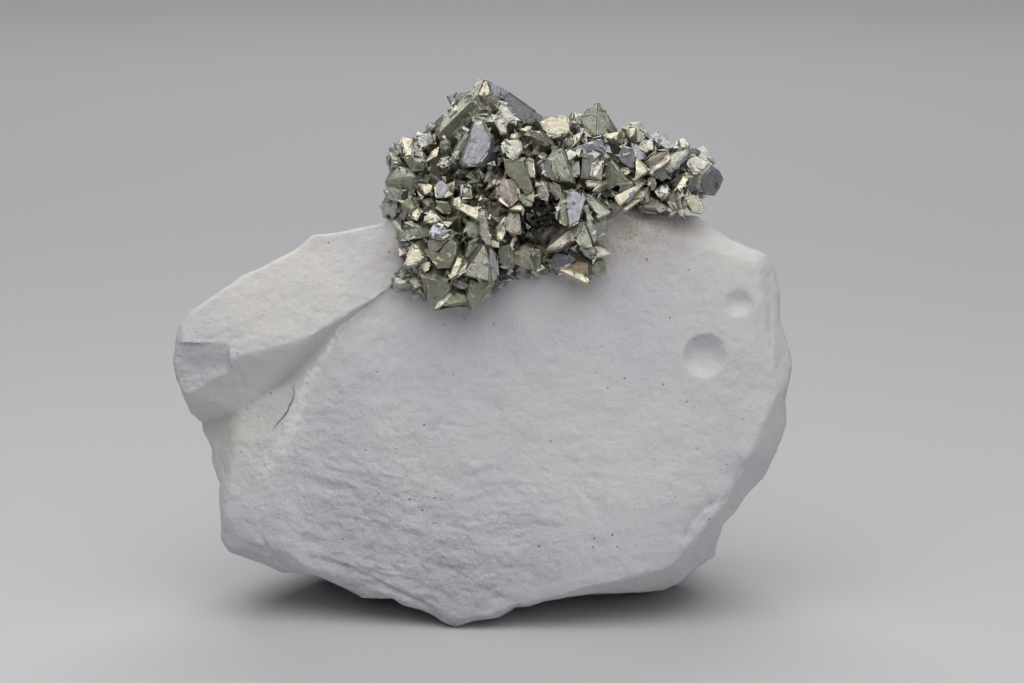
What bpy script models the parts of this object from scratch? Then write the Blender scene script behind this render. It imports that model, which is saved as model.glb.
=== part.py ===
"""Marcasite crystals on a broken block of white chalk, a hand specimen 100 mm wide.

The block and the crystals are laid out in the frame of the block's broad front face, in millimetres:
a runs across it to the right, b up it, and w out of it.  The face leans back LEAN degrees, and the
whole stands on a flat facet at z = 0.
"""
import math
import random

import bmesh
import bpy
import numpy as np
from mathutils import Matrix, Vector, noise

MM = 0.001
LEAN = 12.0                    # degrees the broad face leans back from upright
MIDDLE = (4.7, -2.0, 43.2)     # the face frame's origin above the resting facet, mm
VIEW = 415.0                   # distance in front of the face from which the outline is drawn, mm
FACE = 10.3                    # the broad face's height w, mm
GAP = 0.3                      # clearance between the crystals and the chalk, mm
SEED = 7

# The crystals are drawn on a sheet held up before the face, in steps of STEP mm: its corners count
# from the sheet's upper left, first to the right, then down
STEP = 0.1621
SHEET_MIDDLE = (512.0, 341.5)
CHALK_DETAIL = 0.0465          # share of the chalk's triangles that are kept
PLATE_MIDDLE = (-5.0, -11.0, -4.0)     # the plate inside the block from which its surface is drawn
PLATE_RADII = (37.0, 23.0, 0.0)

FACE_TO_WORLD = Matrix.Translation(Vector(MIDDLE)) @ Matrix.Rotation(math.radians(90.0 - LEAN), 4, "X")

# The block's outline seen from the front, clockwise from the foot: (a, b)
OUTLINE = [
    (-9.2, -46.5), (-14.5, -43.7), (-18.0, -42.7), (-19.3, -41.7), (-24.3, -41.7), (-27.2, -40.0),
    (-31.9, -37.8), (-37.3, -37.4), (-43.8, -35.0), (-46.0, -34.2), (-47.2, -32.3), (-47.6, -23.0),
    (-49.2, -19.5), (-49.4, -17.1), (-51.1, -14.5), (-53.2, -9.6), (-54.6, -5.8), (-55.0, -3.2),
    (-54.4, 0.5), (-54.0, 2.3), (-52.0, 4.8), (-44.9, 9.5), (-43.6, 10.6), (-40.5, 12.0),
    (-35.5, 15.0), (-32.3, 17.6), (-28.7, 17.8), (-21.4, 19.0), (-19.0, 20.0), (-10.0, 22.5),
    (4.0, 23.5), (18.0, 22.5), (30.2, 20.2), (31.6, 18.7), (35.0, 16.5), (41.0, 14.0),
    (42.4, 12.2), (43.4, 8.3), (43.4, 3.2), (44.7, 0.1), (45.6, -3.2), (45.2, -5.6),
    (44.1, -9.5), (44.4, -13.5), (43.4, -18.0), (41.6, -21.8), (37.9, -25.7), (36.1, -28.3),
    (34.4, -29.9), (32.9, -34.8), (30.0, -36.7), (27.1, -39.0), (24.6, -40.3), (20.6, -40.8),
    (12.6, -41.1), (5.3, -42.1), (2.8, -42.9), (0.6, -43.0), (-2.0, -44.7), (-6.5, -45.4),
]

# Flat breaks of the front: heading in the face plane, angle turned away from it, a point on it.
# A heading of 0 is to the right, 90 up, 180 left and 270 down.
FRONT_BREAKS = [
    (0, 0, (0, 0, FACE)),
    (225, 5, (-14, -12, FACE)),
    (330, 4, (22, -14, FACE)),
    (69, 42, (28.4, 15.8, FACE)),
    (35, 40, (39.6, 9.6, FACE)),
    (8, 44, (39.8, 2, FACE)),
    (336, 55, (39.0, -13.5, FACE)),
    (332, 60, (34.6, -22.8, FACE)),
    (318, 58, (29.0, -30.7, FACE)),
    (286, 60, (20.0, -36.7, FACE)),
    (284, 65, (5.2, -40.6, FACE)),
    (249, 46, (-24.7, -36.2, FACE)),
    (214, 36, (-41.4, -27.2, FACE)),
    (175, 52, (-42.5, -16.0, FACE)),
    (150, 42, (-31.6, -4.2, 9.7)),
]

# Breaks of the left lobe, which lies a little lower than the face
LOBE_BREAKS = [
    (180, 5, (-39.6, -22.0, 8.1)),
    (0, 20, (-35.0, -10.0, 8.5)),
    (114, 60, (-37.3, -7.6, 8.3)),
    (150, 45, (-44.6, -13.0, 7.8)),
    (175, 52, (-44.3, -16.0, 7.8)),
    (214, 36, (-41.4, -27.2, FACE)),
    (249, 46, (-24.7, -36.2, FACE)),
]

# Breaks of the slab that stands proud of the face at the upper left
SLAB_BREAKS = [
    (38, 9, (-27.7, 2.1, 12.5)),
    (293, 44, (-37.1, -1.0, 13.95)),
    (307, 66, (-23.4, 5.8, 11.5)),
    (178, 48, (-52.4, 0.0, 14.6)),
    (262, 70, (-46.0, -10.6, 8.6)),
]

# Breaks of the back, which faces away from the viewer
BACK_BREAKS = [
    (90, 156, (-4.7, -35.7, -34.2)),
    (160, 128, (-34, 4, -13)),
    (15, 126, (34, -6, -14)),
    (82, 112, (6, 21, -5)),
    (60, 140, (20, 12, -13)),
    (120, 138, (-24, 12, -11)),
    (212, 122, (-40, -26, -20)),
    (325, 124, (30, -27, -24)),
    (262, 150, (-6, -34, -33)),
]

# Round pits in the face: middle (a, b), rim radius and depth
PITS = [
    ((30.6, -2.3), 3.5, 1.9),
    ((35.8, 5.9), 2.3, 1.1),
    ((11.3, 4.8), 3.8, 0.25),
]

# Grown-together middles of the crystal masses: middle (a, b, w) and radii
CORES = [
    ((-8.9, 22.0, 5.0), (9.5, 14.5, 9.0)),
    ((8.2, 22.5, 5.0), (7.0, 11.5, 8.0)),
    ((22.5, 26.2, 4.2), (10.5, 4.8, 5.6)),
    ((1.5, 26.0, 4.5), (6.5, 7.5, 7.0)),
]

# What the crystals cover on the sheet
CLUSTER_OUTLINE = [
    (380, 206), (386, 186), (390, 152), (403, 138), (436, 122), (448, 98), (470, 92), (486, 80),
    (508, 92), (546, 120), (568, 117), (583, 116), (598, 104), (608, 114), (613, 128), (640, 123),
    (650, 135), (668, 139), (686, 139), (704, 147), (722, 178), (714, 194), (704, 210), (684, 218),
    (640, 211), (611, 214), (606, 240), (610, 254), (605, 274), (588, 282), (556, 275), (538, 278),
    (512, 279), (472, 307), (434, 306), (392, 290), (399, 240),
]
SPIKE_PATCH = 42.0             # surface of a mass to each spear-shaped crystal round its back, mm2
SPIKE_REACH = (1.8, 4.2)       # how far they stand out of a mass, mm
SPIKE_WIDTH = (4.0, 7.0)       # mm
STOUT = 2.1                    # a face wider than this in mm, from its middle, has straight sides

# The larger crystals as seen from the front: height w of the middle of the crystal's main face, the
# face's heading and turn, and its corners on the sheet
CRYSTALS = [
    # tall spear at the top left and the crystals beside it
    (13.0, 320, 14, [(479, 94), (487, 104), (474, 118), (456, 138), (438, 136), (451, 117), (465, 104)]),
    (13.4, 130, 34, [(486, 78), (479, 95), (465, 106), (451, 119), (437, 137), (441, 124), (452, 111),
                     (470, 93)]),
    (13.2, 95, 26, [(486, 78), (491, 93), (484, 97), (478, 95), (479, 88)]),
    (8.0, 100, 10, [(446, 96), (467, 92), (474, 89), (464, 102), (451, 106)]),
    (12.0, 160, 22, [(444, 112), (451, 118), (446, 130), (437, 136)]),
    (9.0, 200, 12, [(434, 122), (443, 114), (445, 122), (438, 132)]),
    (10.0, 60, 14, [(487, 79), (508, 91), (510, 98), (488, 101), (483, 98)]),
    (10.4, 55, 20, [(508, 92), (546, 119), (538, 122), (528, 125), (518, 120), (502, 106)]),
    (13.3, 70, 22, [(500, 103), (507, 106), (519, 121), (517, 125), (510, 124), (499, 113)]),
    (15.0, 110, 24, [(473, 122), (474, 116), (489, 113), (495, 121), (484, 120)]),
    (15.2, 80, 20, [(489, 113), (500, 116), (507, 123), (507, 133), (500, 134), (494, 121)]),
    (15.6, 150, 22, [(463, 128), (470, 131), (462, 150), (455, 163), (450, 163), (457, 146)]),
    (17.2, 10, 13, [(475, 122), (483, 120), (492, 139), (491, 148), (478, 166), (464, 166), (461, 162),
                    (469, 140)]),
    # left shoulder
    (11.0, 100, 28, [(401, 136), (413, 139), (410, 148), (411, 156), (405, 157), (403, 146)]),
    (11.6, 70, 16, [(413, 140), (420, 146), (428, 157), (424, 160), (411, 153)]),
    (10.2, 90, 8, [(415, 133), (431, 134), (432, 143), (424, 148), (418, 142)]),
    (10.4, 150, 20, [(387, 151), (398, 153), (400, 162), (393, 169), (388, 171)]),
    (12.4, 250, 12, [(402, 157), (412, 157), (427, 160), (426, 168), (411, 171)]),
    (12.2, 190, 22, [(388, 172), (398, 166), (409, 170), (417, 180), (409, 190), (395, 192), (384, 187),
                     (385, 178)]),
    (15.2, 90, 27, [(418, 184), (433, 185), (431, 192), (425, 195)]),
    (14.8, 60, 18, [(434, 184), (442, 180), (450, 188), (449, 197), (436, 198)]),
    (16.2, 90, 12, [(461, 184), (470, 186), (472, 198), (462, 199)]),
    # left side down to the bottom tip
    (12.2, 175, 28, [(382, 190), (390, 186), (401, 190), (402, 203), (392, 201), (386, 199)]),
    (11.4, 210, 12, [(378, 206), (388, 202), (398, 204), (398, 214), (391, 217)]),
    (13.4, 230, 12, [(400, 204), (410, 196), (419, 205), (413, 223), (402, 217)]),
    (16.2, 85, 24, [(424, 219), (430, 209), (436, 213), (442, 220), (436, 223), (426, 223)]),
    (15.0, 260, 20, [(435, 200), (448, 202), (453, 210), (446, 215), (438, 209)]),
    (17.8, 80, 28, [(457, 208), (462, 203), (479, 208), (480, 221), (468, 215)]),
    (14.2, 270, 14, [(398, 230), (412, 229), (430, 229), (430, 237), (412, 240), (397, 240)]),
    (17.0, 100, 16, [(429, 229), (434, 222), (444, 225), (451, 234), (442, 240), (431, 238)]),
    (16.6, 60, 20, [(441, 236), (452, 228), (457, 233), (447, 243), (441, 243)]),
    (17.2, 20, 14, [(466, 220), (479, 223), (478, 240), (470, 237), (466, 230)]),
    (19.0, 170, 14, [(480, 211), (486, 213), (489, 230), (492, 246), (486, 245), (480, 236)]),
    (18.4, 150, 14, [(485, 244), (489, 262), (490, 281), (477, 276), (464, 275), (472, 262)]),
    (17.6, 0, 32, [(490, 246), (496, 255), (498, 279), (492, 283), (489, 262)]),
    (15.6, 95, 30, [(414, 243), (418, 246), (425, 258), (418, 263), (403, 266), (408, 254)]),
    (14.2, 250, 14, [(407, 266), (420, 265), (422, 276), (411, 273)]),
    (17.6, 190, 16, [(441, 250), (452, 240), (457, 243), (455, 256), (450, 268), (437, 269), (433, 262)]),
    (15.6, 240, 12, [(425, 252), (433, 250), (441, 255), (433, 263)]),
    (16.0, 215, 14, [(427, 241), (440, 238), (447, 244), (437, 252), (428, 251)]),
    (18.2, 110, 26, [(458, 256), (463, 258), (454, 278), (450, 277)]),
    (16.6, 315, 24, [(470, 242), (483, 246), (476, 254), (468, 262), (465, 254)]),
    (15.4, 200, 16, [(422, 274), (434, 274), (448, 280), (451, 289), (434, 309), (428, 301)]),
    (15.2, 75, 20, [(434, 310), (450, 288), (455, 293), (440, 308)]),
    (14.6, 290, 22, [(438, 309), (454, 293), (470, 295), (479, 301), (472, 310), (469, 306)]),
    (15.4, 320, 16, [(468, 284), (488, 280), (496, 282), (485, 300), (472, 310), (466, 298)]),
    (13.4, 280, 30, [(483, 300), (496, 282), (513, 279), (500, 287)]),
    (13.4, 200, 24, [(390, 283), (394, 277), (400, 279), (409, 284), (396, 293), (391, 290)]),
    # middle, around the dark hollow between the two masses
    (16.2, 85, 14, [(507, 140), (519, 139), (523, 149), (515, 160), (503, 152), (500, 146)]),
    (15.6, 245, 12, [(503, 158), (515, 161), (525, 158), (530, 180), (533, 192), (526, 196), (517, 181),
                     (505, 172)]),
    (15.4, 30, 26, [(526, 158), (533, 160), (535, 178), (529, 177)]),
    (17.0, 75, 14, [(500, 178), (513, 178), (518, 186), (521, 196), (510, 207), (498, 199), (496, 186)]),
    (17.0, 60, 10, [(506, 216), (513, 213), (520, 215), (520, 232), (512, 234), (505, 230)]),
    (16.8, 120, 22, [(499, 222), (506, 214), (506, 232), (502, 241), (496, 240)]),
    (15.4, 210, 14, [(500, 246), (512, 244), (514, 262), (505, 269), (499, 262)]),
    (14.2, 280, 16, [(513, 252), (530, 257), (535, 270), (524, 269), (513, 262)]),
    (15.0, 60, 14, [(517, 196), (526, 192), (533, 198), (532, 207), (524, 206)]),
    (14.2, 100, 10, [(536, 181), (549, 182), (552, 190), (546, 201), (537, 197)]),
    (15.2, 40, 20, [(550, 181), (560, 187), (562, 198), (557, 200), (551, 190)]),
    (15.4, 170, 18, [(554, 147), (562, 149), (569, 168), (573, 183), (560, 181), (551, 168), (547, 157)]),
    (14.6, 215, 20, [(547, 157), (552, 168), (559, 181), (549, 178), (541, 171)]),
    (13.0, 240, 16, [(524, 132), (540, 131), (557, 147), (548, 143), (536, 138)]),
    (12.6, 250, 14, [(534, 249), (541, 250), (541, 268), (538, 281), (535, 274)]),
    # right mass
    (12.2, 90, 24, [(540, 121), (550, 117), (567, 116), (570, 124), (570, 131), (562, 135), (551, 138),
                    (545, 132)]),
    (9.2, 90, 18, [(572, 110), (583, 114), (583, 118), (578, 124), (571, 122)]),
    (9.2, 165, 20, [(598, 102), (596, 136), (583, 125), (581, 116), (590, 107)]),
    (9.0, 15, 22, [(598, 102), (607, 112), (611, 129), (604, 135), (596, 136)]),
    (12.0, 110, 22, [(566, 140), (572, 136), (582, 131), (580, 139), (571, 149), (566, 148)]),
    (13.2, 75, 16, [(571, 148), (591, 140), (603, 136), (607, 143), (606, 153), (596, 150), (582, 152)]),
    (13.4, 200, 14, [(582, 155), (597, 151), (600, 165), (598, 180), (580, 179)]),
    (13.8, 60, 16, [(592, 163), (600, 158), (605, 164), (602, 179), (590, 177)]),
    (13.4, 150, 18, [(571, 162), (579, 160), (580, 175), (572, 177)]),
    (12.4, 215, 22, [(611, 160), (620, 170), (629, 181), (618, 186), (606, 189), (604, 175)]),
    (17.0, 40, 18, [(567, 192), (574, 189), (581, 193), (585, 201), (579, 222), (570, 227), (567, 210)]),
    (16.8, 170, 20, [(567, 192), (570, 227), (557, 220), (556, 212), (561, 201)]),
    (15.4, 130, 22, [(545, 250), (556, 242), (571, 229), (584, 221), (578, 236), (566, 244), (557, 249)]),
    (15.0, 60, 20, [(583, 195), (593, 198), (612, 212), (602, 218), (592, 209)]),
    (16.2, 150, 18, [(585, 207), (589, 208), (593, 222), (597, 240), (594, 243), (588, 226)]),
    (15.6, 120, 16, [(579, 222), (585, 221), (591, 238), (593, 248), (582, 247), (576, 242)]),
    (14.0, 320, 14, [(591, 222), (600, 216), (607, 219), (606, 232), (599, 237), (593, 233)]),
    (14.6, 265, 16, [(580, 248), (592, 247), (598, 252), (591, 260), (584, 256)]),
    (13.6, 75, 22, [(594, 246), (603, 247), (612, 254), (601, 257), (592, 260)]),
    (14.0, 110, 12, [(563, 271), (566, 264), (578, 262), (589, 263), (589, 276)]),
    (14.6, 95, 26, [(559, 270), (563, 269), (586, 276), (590, 285)]),
    (13.6, 200, 16, [(552, 256), (559, 252), (573, 257), (573, 268), (558, 276), (552, 270)]),
    (13.0, 330, 20, [(591, 267), (600, 261), (607, 263), (606, 271), (600, 278), (594, 275)]),
    # right arm
    (9.0, 170, 20, [(623, 125), (628, 132), (628, 143), (617, 143), (619, 133)]),
    (8.6, 30, 16, [(630, 122), (640, 121), (645, 128), (648, 137), (641, 143), (631, 143)]),
    (8.6, 75, 20, [(646, 134), (656, 135), (668, 142), (679, 147), (667, 150), (655, 142)]),
    (10.8, 90, 22, [(641, 142), (653, 138), (654, 150), (645, 151)]),
    (12.2, 200, 16, [(616, 157), (623, 145), (632, 148), (636, 162), (631, 169), (621, 163)]),
    (11.4, 50, 18, [(632, 143), (642, 146), (646, 158), (637, 161), (633, 152)]),
    (13.2, 85, 29, [(636, 160), (643, 162), (651, 169), (648, 174), (637, 175)]),
    (13.2, 105, 28, [(649, 173), (651, 169), (668, 156), (672, 158), (661, 167)]),
    (12.0, 90, 12, [(644, 161), (655, 151), (669, 149), (668, 157), (651, 169)]),
    (13.6, 80, 28, [(632, 178), (641, 179), (647, 184), (640, 189), (635, 189)]),
    (13.6, 95, 28, [(615, 195), (629, 193), (647, 182), (634, 194), (619, 206)]),
    (12.8, 300, 18, [(626, 198), (640, 190), (649, 187), (651, 198), (640, 201), (625, 209)]),
    (12.4, 260, 22, [(619, 187), (632, 181), (635, 190), (622, 196)]),
    (12.6, 105, 16, [(690, 149), (675, 152), (664, 162), (661, 169), (668, 173), (679, 165)]),
    (12.8, 345, 24, [(690, 149), (689, 157), (671, 174), (667, 172), (678, 161)]),
    (12.2, 70, 20, [(690, 154), (697, 156), (710, 163), (700, 173), (692, 173), (686, 164)]),
    (12.6, 120, 22, [(685, 172), (691, 176), (680, 191), (676, 187)]),
    (13.2, 190, 14, [(670, 194), (678, 189), (682, 203), (685, 221), (676, 214), (668, 207)]),
    (6.4, 80, 14, [(691, 151), (704, 145), (709, 156), (716, 163), (710, 167), (699, 158)]),
    (7.4, 335, 20, [(700, 174), (710, 164), (720, 171), (724, 179), (720, 189), (715, 196), (704, 195),
                    (698, 182)]),
    (12.0, 45, 18, [(683, 198), (699, 194), (705, 208), (703, 213), (691, 211)]),
    (13.0, 90, 16, [(655, 188), (668, 185), (670, 196), (657, 200)]),
    (12.4, 240, 14, [(651, 173), (660, 167), (669, 176), (661, 181)]),
    (11.4, 285, 20, [(682, 188), (691, 175), (701, 173), (699, 187), (690, 192)]),
    (11.6, 270, 16, [(638, 204), (655, 199), (671, 206), (660, 213), (641, 211)]),
]


def facing(heading, turn):
    """Unit vector at an angle to the face's normal, leaning the way of the heading."""
    h = math.radians(heading)
    t = math.radians(turn)
    return np.array((math.sin(t) * math.cos(h), math.sin(t) * math.sin(h), math.cos(t)))


def soft_max(values, rounding):
    """Largest of the values, with the corners between them rounded."""
    return rounding * np.logaddexp.reduce(np.array(values) / rounding, axis=0)


def breaks_field(points, breaks):
    return [(points - np.array(point)) @ facing(heading, turn) for heading, turn, point in breaks]


def outline_field(points):
    """Distance outside the outline; the block's top and sides narrow behind its widest part."""
    scale = VIEW / (VIEW - points[:, 2:3])
    drawn = points[:, :2] * scale
    nearest = np.full(len(points), 1.0e9)
    inside = np.zeros(len(points), dtype=bool)
    for (a0, b0), (a1, b1) in zip(OUTLINE, OUTLINE[1:] + OUTLINE[:1]):
        start = np.array((a0, b0))
        edge = np.array((a1 - a0, b1 - b0))
        along = np.clip((drawn - start) @ edge / (edge @ edge), 0.0, 1.0)
        nearest = np.minimum(nearest, np.hypot(*(drawn - start - along[:, None] * edge).T))
        crosses = (drawn[:, 1] < b0) != (drawn[:, 1] < b1)
        if b0 != b1:
            inside ^= crosses & (drawn[:, 0] < a0 + (drawn[:, 1] - b0) * edge[0] / edge[1])
    distance = np.where(inside, -nearest, nearest)
    narrowing = 0.22 * np.clip((points[:, 1] + 38.0) / 18.0, 0.0, 1.0)
    return distance + narrowing * np.maximum(0.0, 3.0 - points[:, 2])


def notch_field(points):
    """Positive in the corner broken out of the slab's left end."""
    a, b, w = points.T
    floor = np.maximum(13.0 + 0.12 * (a + 48.0), 14.9 + 0.45 * (b + 0.3))
    return np.minimum(np.minimum(-44.3 - a, -0.3 - b), w - floor)


def chalk_field(points, grow=0.0):
    """Negative inside the chalk block, grown by some millimetres."""
    face = soft_max(breaks_field(points, FRONT_BREAKS), 0.35)
    lobe = soft_max(breaks_field(points, LOBE_BREAKS), 0.3)
    slab = soft_max(breaks_field(points, SLAB_BREAKS), 0.15)
    front = -soft_max([-face, -lobe, -slab], 0.06)
    back = soft_max(breaks_field(points, BACK_BREAKS), 0.8)
    body = soft_max([front, outline_field(points), back], 0.35)
    body = np.maximum(body, notch_field(points))
    for (a, b), rim, depth in PITS:
        radius = (rim * rim + depth * depth) / (2.0 * depth)
        centre = np.array((a, b, FACE + radius - depth))
        body = soft_max([body, radius - np.linalg.norm(points - centre, axis=1)], 0.12)
    return body - grow


def reach_surface(starts, directions, grow):
    """Where rays from inside leave the block."""
    near = np.zeros(len(directions))
    far = np.full(len(directions), 60.0)
    for step in range(22):
        middle = 0.5 * (near + far)
        inside = chalk_field(starts + directions * middle[:, None], grow) < 0.0
        near = np.where(inside, middle, near)
        far = np.where(inside, far, middle)
    return starts + directions * far[:, None]


def unevenness(point):
    """Low swells and finer roughness of broken chalk, mm."""
    swell = noise.noise(point / 17.0) * 0.55
    rough = noise.noise(point / 5.5 + Vector((7.0, 3.0, 1.0))) * 0.22
    return swell + rough


def new_object(name, mesh_tool, collection):
    mesh = bpy.data.meshes.new(name)
    mesh_tool.to_mesh(mesh)
    mesh_tool.free()
    obj = bpy.data.objects.new(name, mesh)
    collection.objects.link(obj)
    return obj


def chalk_block(name, collection, detail, grow=0.0):
    """An icosphere drawn out from a flat plate inside the block to its breaks, then roughened."""
    shape = bmesh.new()
    bmesh.ops.create_icosphere(shape, subdivisions=detail, radius=1.0)
    ball = np.array([vert.co[:] for vert in shape.verts])
    starts = np.array(PLATE_MIDDLE) + ball * np.array(PLATE_RADII)
    rays = ball * np.array((0.45, 0.45, 1.0))
    rays /= np.linalg.norm(rays, axis=1)[:, None]
    surface = reach_surface(starts, rays, grow)
    for vert, place, ray in zip(shape.verts, surface, rays):
        spot = Vector(place)
        vert.co = (spot + Vector(ray) * unevenness(spot)) * MM
    bmesh.ops.transform(shape, matrix=world_matrix(), verts=shape.verts)
    return new_object(name, shape, collection)


def world_matrix():
    """The face frame's place in the world, in metres."""
    matrix = FACE_TO_WORLD.copy()
    matrix.translation = matrix.translation * MM
    return matrix


def cut_flat(obj):
    """Cut the block at z = 0 and close it with one flat facet."""
    shape = bmesh.new()
    shape.from_mesh(obj.data)
    geometry = shape.verts[:] + shape.edges[:] + shape.faces[:]
    cut = bmesh.ops.bisect_plane(shape, geom=geometry, plane_co=(0, 0, 0), plane_no=(0, 0, -1),
                                 clear_outer=True)
    rim = [item for item in cut["geom_cut"] if isinstance(item, bmesh.types.BMEdge)]
    bmesh.ops.contextual_create(shape, geom=rim)
    bmesh.ops.triangulate(shape, faces=shape.faces[:])
    bmesh.ops.recalc_face_normals(shape, faces=shape.faces[:])
    shape.to_mesh(obj.data)
    shape.free()


def seen(right, down, height):
    """The place at a height above the face's frame that shows at a spot on the sheet."""
    reach = STEP * (VIEW - height) / VIEW
    return Vector(((right - SHEET_MIDDLE[0]) * reach, (SHEET_MIDDLE[1] - down) * reach, height))


def nearest_core(place):
    """The middle of the mass that a crystal has grown from."""
    middles = [Vector(middle) for middle, radii in CORES]
    return min(middles, key=lambda middle: (place.xy - middle.xy).length)


def hull_object(name, points, collection):
    shape = bmesh.new()
    for point in points:
        shape.verts.new(point * MM)
    hull = bmesh.ops.convex_hull(shape, input=shape.verts[:])
    spare = [item for item in hull["geom_interior"] if isinstance(item, bmesh.types.BMVert)]
    bmesh.ops.delete(shape, geom=spare, context="VERTS")
    bmesh.ops.recalc_face_normals(shape, faces=shape.faces[:])
    bmesh.ops.transform(shape, matrix=world_matrix(), verts=shape.verts[:])
    return new_object(name, shape, collection)


def face_crystal(name, row, chance, collection):
    """A crystal with a flat main face, straight sides and a root in the mass behind it."""
    height, heading, turn, corners = row
    right = sum(corner[0] for corner in corners) / len(corners)
    down = sum(corner[1] for corner in corners) / len(corners)
    middle = seen(right, down, height)
    normal = Vector(facing(heading, turn))
    front = []
    for corner in corners:
        flat = seen(*corner, height)
        slope = normal.xy.dot(flat.xy - middle.xy) / normal.z
        front.append(seen(*corner, height - slope) + Vector((chance.uniform(-0.04, 0.04),
                                                            chance.uniform(-0.04, 0.04), 0.0)))
    spread = sum((point - middle).length for point in front) / len(front)
    sides = [point - normal * spread * 0.6 for point in front] if spread > STOUT else []
    core = nearest_core(middle)
    root = middle + (core - middle) * min(1.0, 1.6 * spread / (core - middle).length + 0.35)
    return hull_object(name, front + sides + [root], collection)


def covered(place):
    """Whether a place lies behind what the crystals cover on the sheet."""
    reach = STEP * (VIEW - place.z) / VIEW
    right = SHEET_MIDDLE[0] + place.x / reach
    down = SHEET_MIDDLE[1] - place.y / reach
    inside = False
    for (u0, v0), (u1, v1) in zip(CLUSTER_OUTLINE, CLUSTER_OUTLINE[1:] + CLUSTER_OUTLINE[:1]):
        if (v0 > down) != (v1 > down) and right < u0 + (down - v0) * (u1 - u0) / (v1 - v0):
            inside = not inside
    return inside


def spike(name, middle, radii, away, chance, collection):
    """A spear-shaped crystal that stands out of a mass one way, unless it would show past the
    cluster's edge."""
    axis = (away + Vector(chance.uniform(-0.4, 0.4) for i in range(3))).normalized()
    reach = chance.uniform(*SPIKE_REACH)
    width = chance.uniform(*SPIKE_WIDTH)
    tip = middle + Vector(away[i] * radii[i] for i in range(3)) + axis * reach
    if not covered(tip):
        return
    across = axis.orthogonal().normalized()
    across.rotate(Matrix.Rotation(chance.uniform(0, math.pi), 3, axis))
    along = axis.cross(across)
    shoulder = tip - axis * reach * chance.uniform(0.7, 1.1)
    ring = [shoulder + across * width * 0.5, shoulder - across * width * 0.5,
            shoulder + along * width * 0.3, shoulder - along * width * 0.3]
    hull_object(name, [tip, middle * 0.6 + tip * 0.4] + ring, collection)


def spikes(middle, radii, chance, collection):
    """Spear-shaped crystals spread evenly over the back and the ends of a mass."""
    size = (radii[0] * radii[1] * radii[2]) ** (1.0 / 3.0)
    count = int(4.0 * math.pi * size * size / SPIKE_PATCH)
    for number in range(count):
        level = 1.0 - 2.0 * (number + 0.5) / count
        turn = number * math.pi * (3.0 - math.sqrt(5.0))
        ring = math.sqrt(1.0 - level * level)
        away = Vector((ring * math.cos(turn), level, ring * math.sin(turn)))
        if away.z < 0.35:
            spike("spike", middle, radii, away, chance, collection)


def core_mass(name, middle, radii, collection):
    shape = bmesh.new()
    bmesh.ops.create_icosphere(shape, subdivisions=2, radius=1.0)
    for vert in shape.verts:
        lump = 1.0 + 0.35 * noise.noise(vert.co * 4.3 + Vector(middle))
        place = Vector(middle) + Vector(vert.co[i] * radii[i] for i in range(3)) * lump
        vert.co = place * MM
    bmesh.ops.transform(shape, matrix=world_matrix(), verts=shape.verts[:])
    return new_object(name, shape, collection)


def material(name, colour, roughness, metallic):
    made = bpy.data.materials.new(name)
    made.use_nodes = True
    shader = made.node_tree.nodes["Principled BSDF"]
    shader.inputs["Base Color"].default_value = (*colour, 1.0)
    shader.inputs["Roughness"].default_value = roughness
    shader.inputs["Metallic"].default_value = metallic
    return made


def settle(obj):
    """Turn an object's modifiers into plain mesh."""
    shaped = bpy.data.meshes.new_from_object(obj.evaluated_get(bpy.context.evaluated_depsgraph_get()))
    obj.modifiers.clear()
    obj.data = shaped


def keep_largest(obj):
    """Drop the crumbs that a cut has left loose."""
    shape = bmesh.new()
    shape.from_mesh(obj.data)
    bmesh.ops.remove_doubles(shape, verts=shape.verts[:], dist=0.000002)
    bodies = []
    waiting = set(shape.verts)
    while waiting:
        body = set()
        reached = [waiting.pop()]
        while reached:
            vert = reached.pop()
            body.add(vert)
            for edge in vert.link_edges:
                other = edge.other_vert(vert)
                if other in waiting:
                    waiting.discard(other)
                    reached.append(other)
        bodies.append(body)
    largest = max(bodies, key=len)
    crumbs = [vert for body in bodies if body is not largest for vert in body]
    bmesh.ops.delete(shape, geom=crumbs, context="VERTS")
    bmesh.ops.triangulate(shape, faces=shape.faces[:])
    shape.to_mesh(obj.data)
    shape.free()


def build():
    for obj in list(bpy.data.objects):
        bpy.data.objects.remove(obj, do_unlink=True)
    specimen = bpy.data.collections.new("marcasite_on_chalk")
    bpy.context.scene.collection.children.link(specimen)

    chalk = chalk_block("chalk_matrix", specimen, detail=7)
    thin = chalk.modifiers.new("thin", "DECIMATE")
    thin.ratio = CHALK_DETAIL
    settle(chalk)
    cut_flat(chalk)
    chalk.data.materials.append(material("chalk", (0.66, 0.65, 0.66), 0.9, 0.0))

    grown = bpy.data.collections.new("crystals_one_by_one")
    bpy.context.scene.collection.children.link(grown)
    grown_over = bpy.data.collections.new("chalk_under_crystals")
    bpy.context.scene.collection.children.link(grown_over)
    chance = random.Random(SEED)
    for number, row in enumerate(CRYSTALS):
        face_crystal(f"crystal_{number}", row, chance, grown)
    for middle, radii in CORES:
        spikes(Vector(middle), radii, chance, grown)
    for number, (middle, radii) in enumerate(CORES[1:]):
        core_mass(f"core_{number}", middle, radii, grown)
    cluster = core_mass("marcasite_cluster", *CORES[0], specimen)
    join = cluster.modifiers.new("join", "BOOLEAN")
    join.operation = "UNION"
    join.operand_type = "COLLECTION"
    join.collection = grown
    join.solver = "EXACT"
    clear = cluster.modifiers.new("clear", "BOOLEAN")
    clear.operation = "DIFFERENCE"
    clear.object = chalk_block("chalk_and_gap", grown_over, detail=6, grow=GAP)
    clear.solver = "EXACT"
    settle(cluster)
    keep_largest(cluster)
    for obj in list(grown.objects) + list(grown_over.objects):
        bpy.data.objects.remove(obj, do_unlink=True)
    cluster.data.materials.append(material("marcasite", (0.42, 0.41, 0.33), 0.3, 1.0))


build()
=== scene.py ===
import math
import random
from collections import namedtuple

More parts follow.
